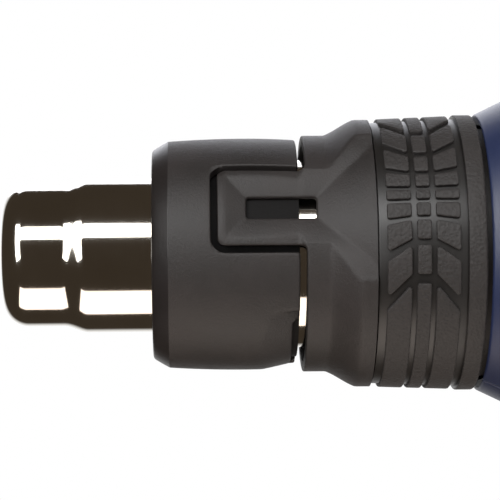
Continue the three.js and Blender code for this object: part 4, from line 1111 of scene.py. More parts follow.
def polygon_distance(x: np.ndarray, y: np.ndarray, outline: Profile) -> np.ndarray:
    """Signed distance from a closed outline in the plane, negative inside.

    Args:
        x: First coordinates.
        y: Second coordinates.
        outline: The outline's corners.

    Returns:
        One distance for each point.
    """
    best = np.full(x.shape, 1e9)
    inside = np.zeros(x.shape, bool)
    for (ax, ay), (bx, by) in zip(outline, outline[1:] + outline[:1]):
        dx, dy = bx - ax, by - ay
        share = np.clip(((x - ax) * dx + (y - ay) * dy) / (dx * dx + dy * dy), 0, 1)
        best = np.minimum(best, np.hypot(x - ax - share * dx, y - ay - share * dy))
        if dy:
            inside ^= ((ay > y) != (by > y)) & (x < ax + dx * (y - ay) / dy)
    return np.where(inside, -best, best)


@dataclass
class Handle:
    """Side view of the handle, laid out along a centreline that leans from the barrel's square."""

    lean: float = math.radians(11)
    rise: float = 66.0
    reach: float = 190.0
    half: float = 19.5
    half_width: float = 17.0
    rounding: float = 12.0
    heel_corner: float = 14.0

    def at(self, along: float, across: float) -> Point2:
        """Place of a point along the handle and across it, as x and z."""
        c, s = math.cos(self.lean), math.sin(self.lean)
        return -along * c - across * s, self.rise - along * s + across * c

    def outline(self) -> Profile:
        """The handle's outline in side view."""
        base, heel = -self.reach, self.at(168, 27)[1]
        back, front, low = self.at(70, self.half), self.at(148, self.half), 15.9
        points: Profile = [(-16.0, 86.0), (-30.0, 96.0)]
        points += bezier((-30, 96), (-46, 93), self.at(50, self.half), back)
        points += bezier(back, self.at(92, 19.4), self.at(100, 17.4), self.at(120, 17.9))
        points += bezier(self.at(120, 17.9), self.at(136, 18.3), self.at(144, 19.3), front)
        corner = (base + self.heel_corner + 2, heel)
        points += bezier(front, self.at(156, 22.5), (base + 25, heel), corner)
        points += quarter((base + self.heel_corner, heel - self.heel_corner), self.heel_corner, math.pi / 2)
        points += quarter((base + self.heel_corner, low), self.heel_corner, math.pi)
        points.append((base + 30, low - self.heel_corner))
        points += bezier((base + 30, low - self.heel_corner), (base + 46, low - self.heel_corner),
                         self.at(142, -self.half), self.at(124, -self.half))
        points += bezier(self.at(124, -self.half), self.at(110, -20.0), self.at(90, -20.0),
                         self.at(62, -self.half))
        return points + [(-16.0, 32.0)]


HANDLE = Handle()


@dataclass
class Housing:
    """Two moulded shells: a barrel that narrows to the tread, and a handle with a heel."""

    front: float = 137.0
    rear: float = 20.0
    mouth: float = 33.7
    radius: float = 41.5
    flare: float = math.radians(25.6)
    blend: float = 2.4
    fillet: float = 9.0
    wall: float = 2.6
    step: float = 1.3
    seam_edge: float = 0.45
    rim_edge: float = 0.7
    grip_start: float = 97.5
    grip_end: float = 157.0
    grip_rise: float = 0.45

    def profile(self) -> tuple[list[float], list[float]]:
        """Heights and radii along the barrel, from its rear to past its mouth."""
        slope = math.tan(self.flare)
        start = self.front - (self.radius - self.blend - self.mouth) / slope
        middle = self.front - (self.radius - self.mouth) / slope
        end = middle - self.blend / math.sin(self.flare)
        curve = bezier((end, self.radius), (middle, self.radius), (start, self.radius - self.blend))
        points = [(0.0, self.radius), (end, self.radius), *curve, (self.front + 4, self.mouth - 4 * slope)]
        return [p[0] for p in points], [p[1] for p in points]

    def distance(self, points: np.ndarray, side_view: np.ndarray | None = None) -> np.ndarray:
        """Signed distance from the outside of the closed shells.

        Args:
            points: Places in millimetres.
            side_view: Distances from the handle's outline, where they are known already.

        Returns:
            The distances, negative inside.
        """
        x, y, z = points[..., 0], points[..., 1], points[..., 2]
        if side_view is None:
            side_view = polygon_distance(x, z, HANDLE.outline())
        barrel = np.hypot(x, y) - np.interp(z, *self.profile())
        flat = side_view + HANDLE.rounding
        side = np.abs(y) - HANDLE.half_width + HANDLE.rounding
        handle = (np.minimum(np.maximum(flat, side), 0) + np.hypot(np.maximum(flat, 0), np.maximum(side, 0))
                  - HANDLE.rounding)
        mix = np.clip(0.5 + 0.5 * (barrel - handle) / self.fillet, 0, 1)
        return barrel + (handle - barrel) * mix - self.fillet * mix * (1 - mix)

    def normals(self, points: np.ndarray) -> np.ndarray:
        """Outward directions at points on the surface."""
        nudge = 0.05
        slopes = [self.distance(points + nudge * axis) - self.distance(points - nudge * axis)
                  for axis in np.eye(3)]
        slopes = np.stack(slopes, -1)
        return slopes / np.maximum(np.linalg.norm(slopes, axis=-1, keepdims=True), 1e-9)

    def surface(self) -> tuple[np.ndarray, list[tuple[int, ...]]]:
        """The outside as a net of four-sided faces, each point moved onto the true surface."""
        low = np.array([-HANDLE.reach - 4, -self.radius - 3, -2.0])
        high = np.array([self.radius + 3, self.radius + 3, self.front + 2.5])
        counts = np.ceil((high - low) / self.step).astype(int) + 1
        axes = [low[k] + self.step * np.arange(counts[k]) for k in range(3)]
        flat = np.stack(np.meshgrid(axes[0], [0.0], axes[2], indexing="ij"), -1)
        side = polygon_distance(flat[..., 0], flat[..., 2], HANDLE.outline())
        grid = np.stack(np.meshgrid(*axes, indexing="ij"), -1)
        inside = self.distance(grid, side) < 0
        cells = np.arange(int(np.prod(counts))).reshape(counts)
        quads = []
        for axis in range(3):
            ahead = np.take(inside, range(1, counts[axis]), axis)
            here = np.take(inside, range(counts[axis] - 1), axis)
            spots = np.argwhere(here != ahead)
            other = [k for k in range(3) if k != axis]
            spots = spots[(spots[:, other[0]] > 0) & (spots[:, other[1]] > 0)]
            leaving = here[tuple(spots.T)]
            one, two = np.eye(3, dtype=int)[other[0]], np.eye(3, dtype=int)[other[1]]
            ring = [cells[tuple((spots - shift).T)] for shift in (0 * one, one, one + two, two)]
            quad = np.stack(ring, -1)
            flip = leaving if axis != 1 else ~leaving
            quad[~flip] = quad[~flip][:, ::-1]
            quads.append(quad)
        faces = np.concatenate(quads)
        used, faces = np.unique(faces, return_inverse=True)
        faces = faces.reshape(-1, 4)
        index = np.stack(np.unravel_index(used, counts), -1)
        points = low + self.step * (index + 0.5)
        for _ in range(5):
            points = points - self.distance(points)[:, None] * self.normals(points)
            near = np.zeros_like(points)
            share = np.zeros(len(points))
            for k in range(4):
                np.add.at(near, faces[:, k], points[faces[:, (k + 1) % 4]] + points[faces[:, (k + 3) % 4]])
                np.add.at(share, faces[:, k], 2)
            points = 0.5 * points + 0.5 * near / share[:, None]
        for _ in range(3):
            points = points - self.distance(points)[:, None] * self.normals(points)
        return points, [tuple(map(int, f)) for f in faces]

    def side_of(self, left: bool) -> tuple[float, tuple[Vector, Vector]]:
        """Sign of Y on which a shell lies, and its box."""
        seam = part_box("housing_left" if left else "housing_right")
        return (1.0 if seam[0][1] + seam[1][1] > 0 else -1.0), seam

    def shell(self, points: np.ndarray, faces: list[tuple[int, ...]], left: bool) -> bmesh.types.BMesh:
        """One half of the housing with its edges rounded and its wall thickened inwards."""
        bm = mesh_from(points, faces)
        side, seam = self.side_of(left)
        edge = min(abs(seam[0][1]), abs(seam[1][1])) / MM
        low, high = (edge, 200.0) if side > 0 else (-200.0, -edge)
        keep_between(bm, 1, low, high)
        self.trim_barrel(bm)
        cut_lines(bm, 1, [side * (edge + gap) for gap in (0.07, 0.18, 0.32, 0.5)])
        for place, way in ((self.rear, 1), (self.front, -1)):
            cut_lines(bm, 2, [place + way * gap for gap in (0.1, 0.25, 0.45, 0.72)])
        outside = np.array([v.co for v in bm.verts])
        outside -= self.distance(outside)[:, None] * self.normals(outside)
        away = self.normals(outside)
        drop = rounding(np.abs(outside[:, 1]) - edge, self.seam_edge)
        on_barrel = outside[:, 0] > -self.radius * 1.6
        ends = np.minimum(self.front - outside[:, 2], np.where(on_barrel, outside[:, 2] - self.rear, 9.0))
        drop = np.maximum(drop, rounding(ends, self.rim_edge))
        bm.verts.index_update()
        cut_faces = [tuple(v.index for v in face.verts) for face in bm.faces]
        bm.free()
        return thickened(outside - drop[:, None] * away, outside - self.wall * away, cut_faces)

    def trim_barrel(self, bm: bmesh.types.BMesh) -> None:
        """Opens the barrel at its mouth and at its rear, and leaves the handle whole."""
        faces = [f for f in bm.faces if max(v.co.x for v in f.verts) > -self.radius * 1.6]
        edges = {e for f in faces for e in f.edges}
        verts = {v for f in faces for v in f.verts}
        bmesh.ops.bisect_plane(bm, geom=[*verts, *edges, *faces], dist=1e-5, plane_co=(0, 0, self.rear),
                               plane_no=(0, 0, -1), clear_outer=True)
        keep_between(bm, 2, -10.0, self.front)

    def build(self) -> None:
        """Makes both shells and the soft grips on them."""
        points, faces = self.surface()
        for left in (True, False):
            side = "left" if left else "right"
            piece = finish_mesh(f"housing_shell_{side}", self.shell(points, faces, left), NAVY_NYLON, 40)
            cut_out(piece, self.cutters(left))
            place_piece(piece, "gun", f"housing_{side}")
            grip = finish_mesh(f"soft_grip_{side}", self.grip(points, faces, left), GRIP_RUBBER, 40)
            place_piece(grip, "gun", f"grip_{side}")

    def cutters(self, left: bool) -> list[bpy.types.Object]:
        """Tools that cut the openings for the controls, the cable inlet and the screws."""
        found = []
        switch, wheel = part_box("switch_body"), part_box("thumbwheel")
        middle = (switch[0] + switch[1]) / 2 / MM
        found.append(box_tool(middle + Vector((0, 0, 3)), (21.6, 13.6, 26.0), -HANDLE.lean))
        middle = (wheel[0] + wheel[1]) / 2 / MM
        found.append(wheel_tool(Vector((middle.x, 0, middle.z)), 13.7, 8.2))
        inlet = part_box("cable_inlet")
        found.append(rod_tool(Vector((inlet[0][0] / MM, 0, (inlet[0][2] + inlet[1][2]) / 2 / MM)), 7.9, 12.0))
        for k in range(1, 7):
            low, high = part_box(f"housing_screw_{k}")
            head = low if abs(low.y) > abs(high.y) else high
            if (head.y > 0) != (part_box("housing_left" if left else "housing_right")[1][1] > 0.01):
                continue
            spot = Vector(((low.x + high.x) / 2, head.y, (low.z + high.z) / 2)) / MM
            found.append(well_tool(spot, 3.3, math.copysign(16.0, head.y)))
        return found

    def grip_region(self, points: np.ndarray) -> np.ndarray:
        """Signed distance from the soft grip's border in side view, negative inside."""
        at = HANDLE.at
        start, end = self.grip_start, self.grip_end
        outline = soften([at(start, 30), at(start, 9.5), at(start + 12, 1.5), at(142, 1.5), at(end, 9.5),
                          at(end, 34)], [0, 6, 8, 8, 8, 0], 6)
        return polygon_distance(points[:, 0], points[:, 2], outline)

    def grip(self, points: np.ndarray, faces: list[tuple[int, ...]], left: bool) -> bmesh.types.BMesh:
        """The soft pad on one shell, standing slightly proud with rounded edges."""
        bm = mesh_from(points, faces)
        side, _ = self.side_of(left)
        low, high = (0.15, 200.0) if side > 0 else (-200.0, -0.15)
        bm.verts.index_update()
        reach = self.grip_region(np.array([v.co for v in bm.verts]))
        far = [f for f in bm.faces if min(reach[v.index] for v in f.verts) > 4]
        bmesh.ops.delete(bm, geom=far, context="FACES")
        keep_between(bm, 1, low, high)
        bmesh.ops.subdivide_edges(bm, edges=bm.edges, cuts=1, use_grid_fill=True)
        outside = np.array([v.co for v in bm.verts])
        gap = self.grip_region(outside)
        near = np.abs(gap) < self.step * 0.3
        for axis in (0, 2):
            nudge = np.zeros(3)
            nudge[axis] = 0.05
            slope = (self.grip_region(outside + nudge) - self.grip_region(outside - nudge)) / 0.1
            outside[:, axis] -= np.where(near, gap * slope, 0)
        outside -= self.distance(outside)[:, None] * self.normals(outside)
        gap = self.grip_region(outside)
        bm.verts.index_update()
        kept = [tuple(v.index for v in face.verts) for face in bm.faces
                if max(gap[v.index] for v in face.verts) < 0.08]
        bm.free()
        away = self.normals(outside)
        rise = self.grip_rise - rounding(-gap, self.grip_rise * 0.8)
        rise -= rounding(np.abs(outside[:, 1]) - 0.15, self.grip_rise * 0.6)
        return thickened(outside + rise[:, None] * away, outside - 0.1 * away, kept)


# ------------------------------------------------------------------ geometry nodes


def group_input(tree: bpy.types.NodeTree, name: str, kind: str, value: float | int | None = None) -> str:
    """Adds a named input to a geometry tree and returns its socket identifier."""
    socket = tree.interface.new_socket(name=name, in_out="INPUT", socket_type=kind)
    if value is not None:
        socket.default_value = value
    return socket.identifier


def baked(holder: bpy.types.Object, name: str) -> bpy.types.Object:
    """Turns an object's modifiers to a plain mesh in a new object, and removes the old one.

    Args:
        holder: The object with the modifiers.
        name: The new object's name.

    Returns:
        The new object.
    """
    graph = bpy.context.evaluated_depsgraph_get()
    mesh = bpy.data.meshes.new_from_object(holder.evaluated_get(graph))
    mesh.name = name
    bpy.data.objects.remove(holder)
    return linked(name, mesh)


def radial_copies(source: bpy.types.Object, name: str, count: int, start: float,
                  finish: Finish) -> bpy.types.Object:
    """Repeats a mesh round Z with a geometry tree, and makes the result a plain mesh.

    Args:
        source: The object to repeat; it is removed afterwards.
        name: The new piece's name.
        count: How many copies.
        start: The angle of the first copy.
        finish: The finish to set on the result.

    Returns:
        The new piece.
    """
    tree = bpy.data.node_groups.new("radial_copies", "GeometryNodeTree")
    tree.interface.new_socket(name="Geometry", in_out="INPUT", socket_type="NodeSocketGeometry")
    count_id = group_input(tree, "Count", "NodeSocketInt", count)
    start_id = group_input(tree, "Start angle", "NodeSocketFloat", start)
    tree.interface.new_socket(name="Geometry", in_out="OUTPUT", socket_type="NodeSocketGeometry")
    given = add_node(tree, "NodeGroupInput")
    spots = add_node(tree, "GeometryNodeMeshLine", {"in:Offset": (0, 0, 0)},
                     {"Count": given.outputs["Count"]})
    turn = add_node(tree, "ShaderNodeMath", {"operation": "DIVIDE", "in:0": TAU}, {1: given.outputs["Count"]})
    index = add_node(tree, "GeometryNodeInputIndex")
    angle = add_node(tree, "ShaderNodeMath", {"operation": "MULTIPLY_ADD"},
                     {0: index.outputs[0], 1: turn.outputs[0], 2: given.outputs["Start angle"]})
    about = add_node(tree, "ShaderNodeCombineXYZ", {}, {"Z": angle.outputs[0]})
    copies = add_node(tree, "GeometryNodeInstanceOnPoints", {},
                      {"Points": spots.outputs["Mesh"], "Instance": given.outputs["Geometry"],
                       "Rotation": about.outputs[0]})
    real = add_node(tree, "GeometryNodeRealizeInstances", {}, {"Geometry": copies.outputs["Instances"]})
    dressed = add_node(tree, "GeometryNodeSetMaterial", {"in:Material": PALETTE.get(finish)},
                       {"Geometry": real.outputs["Geometry"]})
    add_node(tree, "NodeGroupOutput", {}, {"Geometry": dressed.outputs["Geometry"]})
    modifier = source.modifiers.new("copies", "NODES")
    modifier.node_group = tree
    modifier[count_id] = count
    modifier[start_id] = start
    return baked(source, name)


def helix_coils(name: str, count: int, pitch: float, radius: float, wire: float, turns: float,
                low: float, high: float, finish: Finish) -> bpy.types.Object:
    """Winds wire coils that stand in a ring round Z, with a geometry tree.

    Args:
        name: The piece's name.
        count: How many coils.
        pitch: Radius of the ring that they stand in, in millimetres.
        radius: Radius of each coil.
        wire: Radius of the wire.
        turns: Turns in each coil.
        low: Height of the coils' feet.
        high: Height of their tops.
        finish: The wire's finish.

    Returns:
        The piece.
    """
    tree = bpy.data.node_groups.new("helix_coils", "GeometryNodeTree")
    tree.interface.new_socket(name="Geometry", in_out="INPUT", socket_type="NodeSocketGeometry")
    sizes = {"Count": count, "Pitch": pitch * MM, "Radius": radius * MM, "Wire": wire * MM, "Turns": turns,
             "Height": (high - low) * MM, "Foot": low * MM}
    sockets = {key: group_input(tree, key, "NodeSocketInt" if key == "Count" else "NodeSocketFloat")
               for key in sizes}
    tree.interface.new_socket(name="Geometry", in_out="OUTPUT", socket_type="NodeSocketGeometry")
    given = add_node(tree, "NodeGroupInput").outputs
    spiral = add_node(tree, "GeometryNodeCurveSpiral", {"in:Resolution": 14},
                      {"Rotations": given["Turns"], "Start Radius": given["Radius"],
                       "End Radius": given["Radius"], "Height": given["Height"]})
    section = add_node(tree, "GeometryNodeCurvePrimitiveCircle", {"in:Resolution": 6},
                       {"Radius": given["Wire"]})
    coil = add_node(tree, "GeometryNodeCurveToMesh", {"in:Fill Caps": True},
                    {"Curve": spiral.outputs["Curve"], "Profile Curve": section.outputs["Curve"]})
    spots = add_node(tree, "GeometryNodeMeshCircle", {},
                     {"Vertices": given["Count"], "Radius": given["Pitch"]})
    copies = add_node(tree, "GeometryNodeInstanceOnPoints", {},
                      {"Points": spots.outputs["Mesh"], "Instance": coil.outputs["Mesh"]})
    foot = add_node(tree, "ShaderNodeCombineXYZ", {}, {"Z": given["Foot"]})
    real = add_node(tree, "GeometryNodeRealizeInstances", {}, {"Geometry": copies.outputs["Instances"]})
    lifted = add_node(tree, "GeometryNodeTransform", {},
                      {"Geometry": real.outputs["Geometry"], "Translation": foot.outputs[0]})
    dressed = add_node(tree, "GeometryNodeSetMaterial", {"in:Material": PALETTE.get(finish)},
                       {"Geometry": lifted.outputs["Geometry"]})
    add_node(tree, "NodeGroupOutput", {}, {"Geometry": dressed.outputs["Geometry"]})
    return run_tree(tree, name, {sockets[key]: value for key, value in sizes.items()})


def run_tree(tree: bpy.types.NodeTree, name: str, values: dict[str, float | int]) -> bpy.types.Object:
    """Runs a geometry tree on an empty mesh and makes the result a plain, smooth mesh.

    Args:
        tree: The tree.
        name: The new piece's name.
        values: Values for the tree's inputs.

    Returns:
        The new piece.
    """
    holder = linked(name + "_maker", bpy.data.meshes.new("maker"))
    modifier = holder.modifiers.new("maker", "NODES")
    modifier.node_group = tree
    for key, value in values.items():
        modifier[key] = value
    piece = baked(holder, name)
    piece.data.shade_smooth()
    piece.data.set_sharp_from_angle(angle=math.radians(40))
    return piece


def copies_at(source: bpy.types.Object, name: str, places: Sequence[Vector],
              finish: Finish) -> bpy.types.Object:
    """Stands a copy of a mesh at each place, given in metres, with a geometry tree.

    Args:
        source: The object to copy; it is removed.
        name: The new piece's name.
        places: Where the copies go.
        finish: Their finish.

    Returns:
        The new piece.
    """
    tree = bpy.data.node_groups.new("copies_at", "GeometryNodeTree")
    tree.interface.new_socket(name="Geometry", in_out="INPUT", socket_type="NodeSocketGeometry")
    piece_id = group_input(tree, "Piece", "NodeSocketObject")
    tree.interface.new_socket(name="Geometry", in_out="OUTPUT", socket_type="NodeSocketGeometry")
    given = add_node(tree, "NodeGroupInput").outputs
    shape = add_node(tree, "GeometryNodeObjectInfo", {}, {"Object": given["Piece"]})
    copies = add_node(tree, "GeometryNodeInstanceOnPoints", {},
                      {"Points": given["Geometry"], "Instance": shape.outputs["Geometry"]})
    real = add_node(tree, "GeometryNodeRealizeInstances", {}, {"Geometry": copies.outputs["Instances"]})
    dressed = add_node(tree, "GeometryNodeSetMaterial", {"in:Material": PALETTE.get(finish)},
                       {"Geometry": real.outputs["Geometry"]})
    add_node(tree, "NodeGroupOutput", {}, {"Geometry": dressed.outputs["Geometry"]})
    spots = bpy.data.meshes.new("places")
    spots.from_pydata([tuple(p) for p in places], [], [])
    holder = linked("places", spots)
    modifier = holder.modifiers.new("copies", "NODES")
    modifier.node_group = tree
    modifier[piece_id] = source
    piece = baked(holder, name)
    bpy.data.objects.remove(source)
    return piece


# ------------------------------------------------------------------ rear cap, controls and fittings


def rectangle(length: float, width: float, corner: float) -> Profile:
    """A rounded rectangle round the origin."""
    x, y = length / 2, width / 2
    return soften([(-x, -y), (x, -y), (x, y), (-x, y)], corner, 6)


def circle_points(radius: float, count: int = 64, middle: Point2 = (0.0, 0.0)) -> Profile:
    """Points round a circle."""
    return [(middle[0] + radius * math.cos(TAU * k / count), middle[1] + radius * math.sin(TAU * k / count))
            for k in range(count)]


def on_handle(bm: bmesh.types.BMesh, along: float, across: float, upright: bool = False) -> bmesh.types.BMesh:
    """Moves a mesh to a place on the handle; an upright one has its outline in side view."""
    x, z = HANDLE.at(along, across)
    turn = Matrix.Rotation(math.pi / 2, 4, "X") if upright else Matrix.Identity(4)
    matrix = Matrix.Translation((x, 0, z)) @ Matrix.Rotation(-HANDLE.lean, 4, "Y") @ turn
    bmesh.ops.transform(bm, matrix=matrix, verts=bm.verts)
    return bm


@dataclass
class RearCap:
    """Grille cap behind the motor: radial slots in its face, a ring of side slots, a rubber ring."""

    face: float = 36.4
    rim: float = 39.0
    shoulder: float = 40.4
    radius: float = 41.5
    height: float = 19.7
    wall: float = 2.4
    slots: int = 10
    slot_width: float = 3.2
    slot_from: float = 10.5
    slot_to: float = 29.5
    side_slots: int = 14
    side_width: float = 3.4
    side_length: float = 9.0
    ring: Point2 = (31.2, 34.6)
    ring_height: float = 1.6
    gap: float = 0.3

    def skin(self, angle: np.ndarray, height: np.ndarray) -> np.ndarray:
        """Outer radius at a height: a rounded lower edge, then a slight taper."""
        low = self.face + (self.shoulder - self.face) * np.sqrt(
            np.clip(1 - (1 - np.clip(height / 4.6, 0, 1)) ** 2, 0, 1))
        rise = np.clip((height - 4.6) / (self.height - 4.6), 0, 1)
        return low + (self.radius - self.shoulder) * rise

    def distance(self, angle: np.ndarray, height: np.ndarray) -> np.ndarray:
        """Signed distance from the side wall's outline, negative in its material."""
        step = TAU / self.side_slots
        across = (np.abs(np.mod(angle + step / 2, step) - step / 2) * self.radius
                  - self.side_width / 2 + 0.8)
        middle = (self.height + 3) / 2
        along = np.abs(height - middle) - self.side_length / 2 + 0.8
        slot = (np.hypot(np.maximum(across, 0), np.maximum(along, 0))
                + np.minimum(np.maximum(across, along), 0) - 0.8)
        return np.maximum(height - self.height, -slot)

    def build(self) -> None:
        """Makes the cap and its rubber ring."""
        edge = self.side_width / 2 / self.radius
        step = TAU / self.side_slots
        sharp = [k * step + sign * edge for k in range(self.side_slots + 1) for sign in (-1, 1)]
        middle = (self.height + 3) / 2
        heights = lines(0.0, self.height + 0.6, 0.9,
                        [middle - self.side_length / 2, middle + self.side_length / 2, self.height])
        angles = lines(0.0, TAU, 1.1 / self.radius, sharp, 1 / self.radius)
        bm = curved_shell(angles[:-1], heights, self.distance, self.skin, self.wall, 0.4, self.radius)
        holes = []
        for k in range(self.slots):
            turn = TAU * k / self.slots
            c, s = math.cos(turn), math.sin(turn)
            reach = (self.slot_from + self.slot_to) / 2
            outline = rectangle(self.slot_to - self.slot_from, self.slot_width, 1.5)
            holes.append([((x + reach) * c - y * s, (x + reach) * s + y * c) for x, y in outline])
        groove = self.ring_height + self.gap
        disc = plate(circle_points(self.ring[0] - self.gap, 96), holes, self.wall, 0.35)
        bmesh.ops.translate(disc, vec=(0, 0, self.wall / 2), verts=disc.verts)
        low, high = self.ring[0] - self.gap - 0.6, self.ring[1] + self.gap
        rest = lathe(soften([(high, 0), (self.face + 0.1, 0), (self.face + 0.1, 2.0), (self.rim - 1, 4.4),
                             (low, 4.4), (low, groove), (high, groove)], 0.2, 3), 128)
        spigot = lathe([(35.4, 4.4), (38.0, 4.4), (38.4, 26.0), (35.8, 26.0)], 96)
        piece = finish_mesh("rear_grille_cap", join(bm, disc, rest, spigot), BLACK_NYLON, 40)
        place_piece(piece, "gun", "rear_cap")
        corners = [(self.ring[0], 0), (self.ring[1], 0), (self.ring[1], self.ring_height),
                   (self.ring[0], self.ring_height)]
        ring = finish_mesh("rubber_stand_ring", lathe(soften(corners, [0.5, 0.5, 0.1, 0.1], 4), 128),
                           TREAD_RUBBER)
        place_piece(ring, "gun", "stand_ring")


@dataclass
class Controls:
    """Rocker switch in its bezel, on a flat pad, and the temperature wheel in the handle's back."""

    switch_at: float = 76.0
    surface: float = 19.5
    pad_rise: float = 0.6
    switch: Point2 = (21.0, 13.0)
    depth: float = 15.0
    bezel: Point2 = (25.0, 17.0)
    bezel_height: float = 1.6
    pocket: Point2 = (19.6, 10.6)
    rocker_length: float = 16.6
    rocker_width: float = 9.6
    rocker_rise: float = 2.8
    rocker_depth: float = 2.6
    wheel_at: float = 66.0
    wheel_across: float = -9.9
    wheel_radius: float = 13.0
    wheel_width: float = 7.0
    knurls: int = 32

    def build(self) -> None:
        """Makes the pad, the switch, the rocker and the wheel."""
        self.pad()
        self.switch_frame()
        self.rocker()
        self.wheel()

    def pad(self) -> None:
        """The flat pad that carries the switch's bezel."""
        bm = plate(rectangle(28.0, 20.0, 3.0), [rectangle(self.switch[0] + 0.6, self.switch[1] + 0.6, 0.8)],
                   5.0, 0.9, 5)
        pad = finish_mesh("switch_pad", on_handle(bm, self.switch_at, self.surface + self.pad_rise - 2.5),
                          NAVY_NYLON)
        place_piece(pad, "gun")

    def switch_frame(self) -> None:
        """The switch's bezel and the walls of its pocket."""
        top = self.surface + self.pad_rise + 0.3
        bezel = plate(rectangle(*self.bezel, 2.2), [rectangle(*self.pocket, 0.8)], self.bezel_height, 0.55, 4)
        on_handle(bezel, self.switch_at, top + self.bezel_height / 2)
        body = plate(rectangle(*self.switch, 0.6), [rectangle(*self.pocket, 0.8)], self.depth, 0.2)
        on_handle(body, self.switch_at, top - self.depth / 2 + 0.1)
        floor = plate(rectangle(*self.switch, 0.6), [], 1.2, 0.2)
        on_handle(floor, self.switch_at, top - self.depth - 0.4)
        piece = finish_mesh("switch_frame", join(bezel, body, floor), SWITCH_PLASTIC, 40)
        place_piece(piece, "gun", "switch_body")

    def rocker(self) -> None:
        """The dished rocker with its three printed position marks."""
        half, high = self.rocker_length / 2, self.rocker_rise + 1.3
        dish = bezier((-half, high), (0, self.rocker_rise - 0.9), (half, high), steps=16)
        outline = [(-half, high), *dish, (half - 0.6, -self.rocker_depth),
                   *bezier((half - 0.6, -self.rocker_depth), (0, -self.rocker_depth - 2.4),
                           (-half + 0.6, -self.rocker_depth))]
        bm = on_handle(plate(outline, [], self.rocker_width, 0.5, 4), self.switch_at,
                       self.surface + 0.6, upright=True)
        piece = finish_mesh("rocker_button", bm, SWITCH_PLASTIC, 35)
        marks = []
        for place, width in ((-5.6, 0.5), (5.0, 0.5), (6.2, 0.5)):
            mark = plate(rectangle(width, 3.2, 0.2), [], 0.3, 0.05, 1)
            dip = self.rocker_rise + 0.2 + 1.1 * (place / half) ** 2
            marks.append(on_handle(mark, self.switch_at - place, self.surface + 0.6 + dip + 0.1))
        ink = finish_mesh("rocker_marks", join(*marks), WHITE_INK)
        place_piece(piece, "rocker", "switch_rocker")
        place_piece(ink, "rocker")

    def wheel(self) -> None:
        """The knurled temperature wheel with its stub shaft."""
        outline = []
        for k in range(self.knurls * 10):
            share = k / 10
            nick = max(0.0, math.cos(TAU * share)) ** 3
            radius = self.wheel_radius - 0.7 * nick
            turn = TAU * share / self.knurls
            outline.append((radius * math.cos(turn), radius * math.sin(turn)))
        bm = plate(outline, [], self.wheel_width, 0.6, 4)
        stub = cylinder(3.0, self.wheel_width / 2 + 4)
        bmesh.ops.translate(stub, vec=(0, 0, -self.wheel_width / 4 - 2), verts=stub.verts)
        bm = on_handle(join(bm, stub), self.wheel_at, self.wheel_across, upright=True)
        piece = finish_mesh("temperature_wheel", bm, SWITCH_PLASTIC, 35)
        place_piece(piece, "wheel", "thumbwheel")
        marks = []
        for k in range(9):
            mark = plate(rectangle(0.5, 1.4 + 0.45 * k, 0.2), [], 0.3, 0.05, 1)
            turn = Matrix.Rotation(math.radians(-90 + 24 * (k - 4)), 4, "Y")
            lift = Matrix.Translation((0, 0, self.wheel_radius + 0.02))
            bmesh.ops.transform(mark, matrix=turn @ lift, verts=mark.verts)
            x, z = HANDLE.at(self.wheel_at, self.wheel_across)
            bmesh.ops.translate(mark, vec=(x, 0, z), verts=mark.verts)
            marks.append(mark)
        ink = finish_mesh("wheel_marks", join(*marks), WHITE_INK)
        place_piece(ink, "wheel")


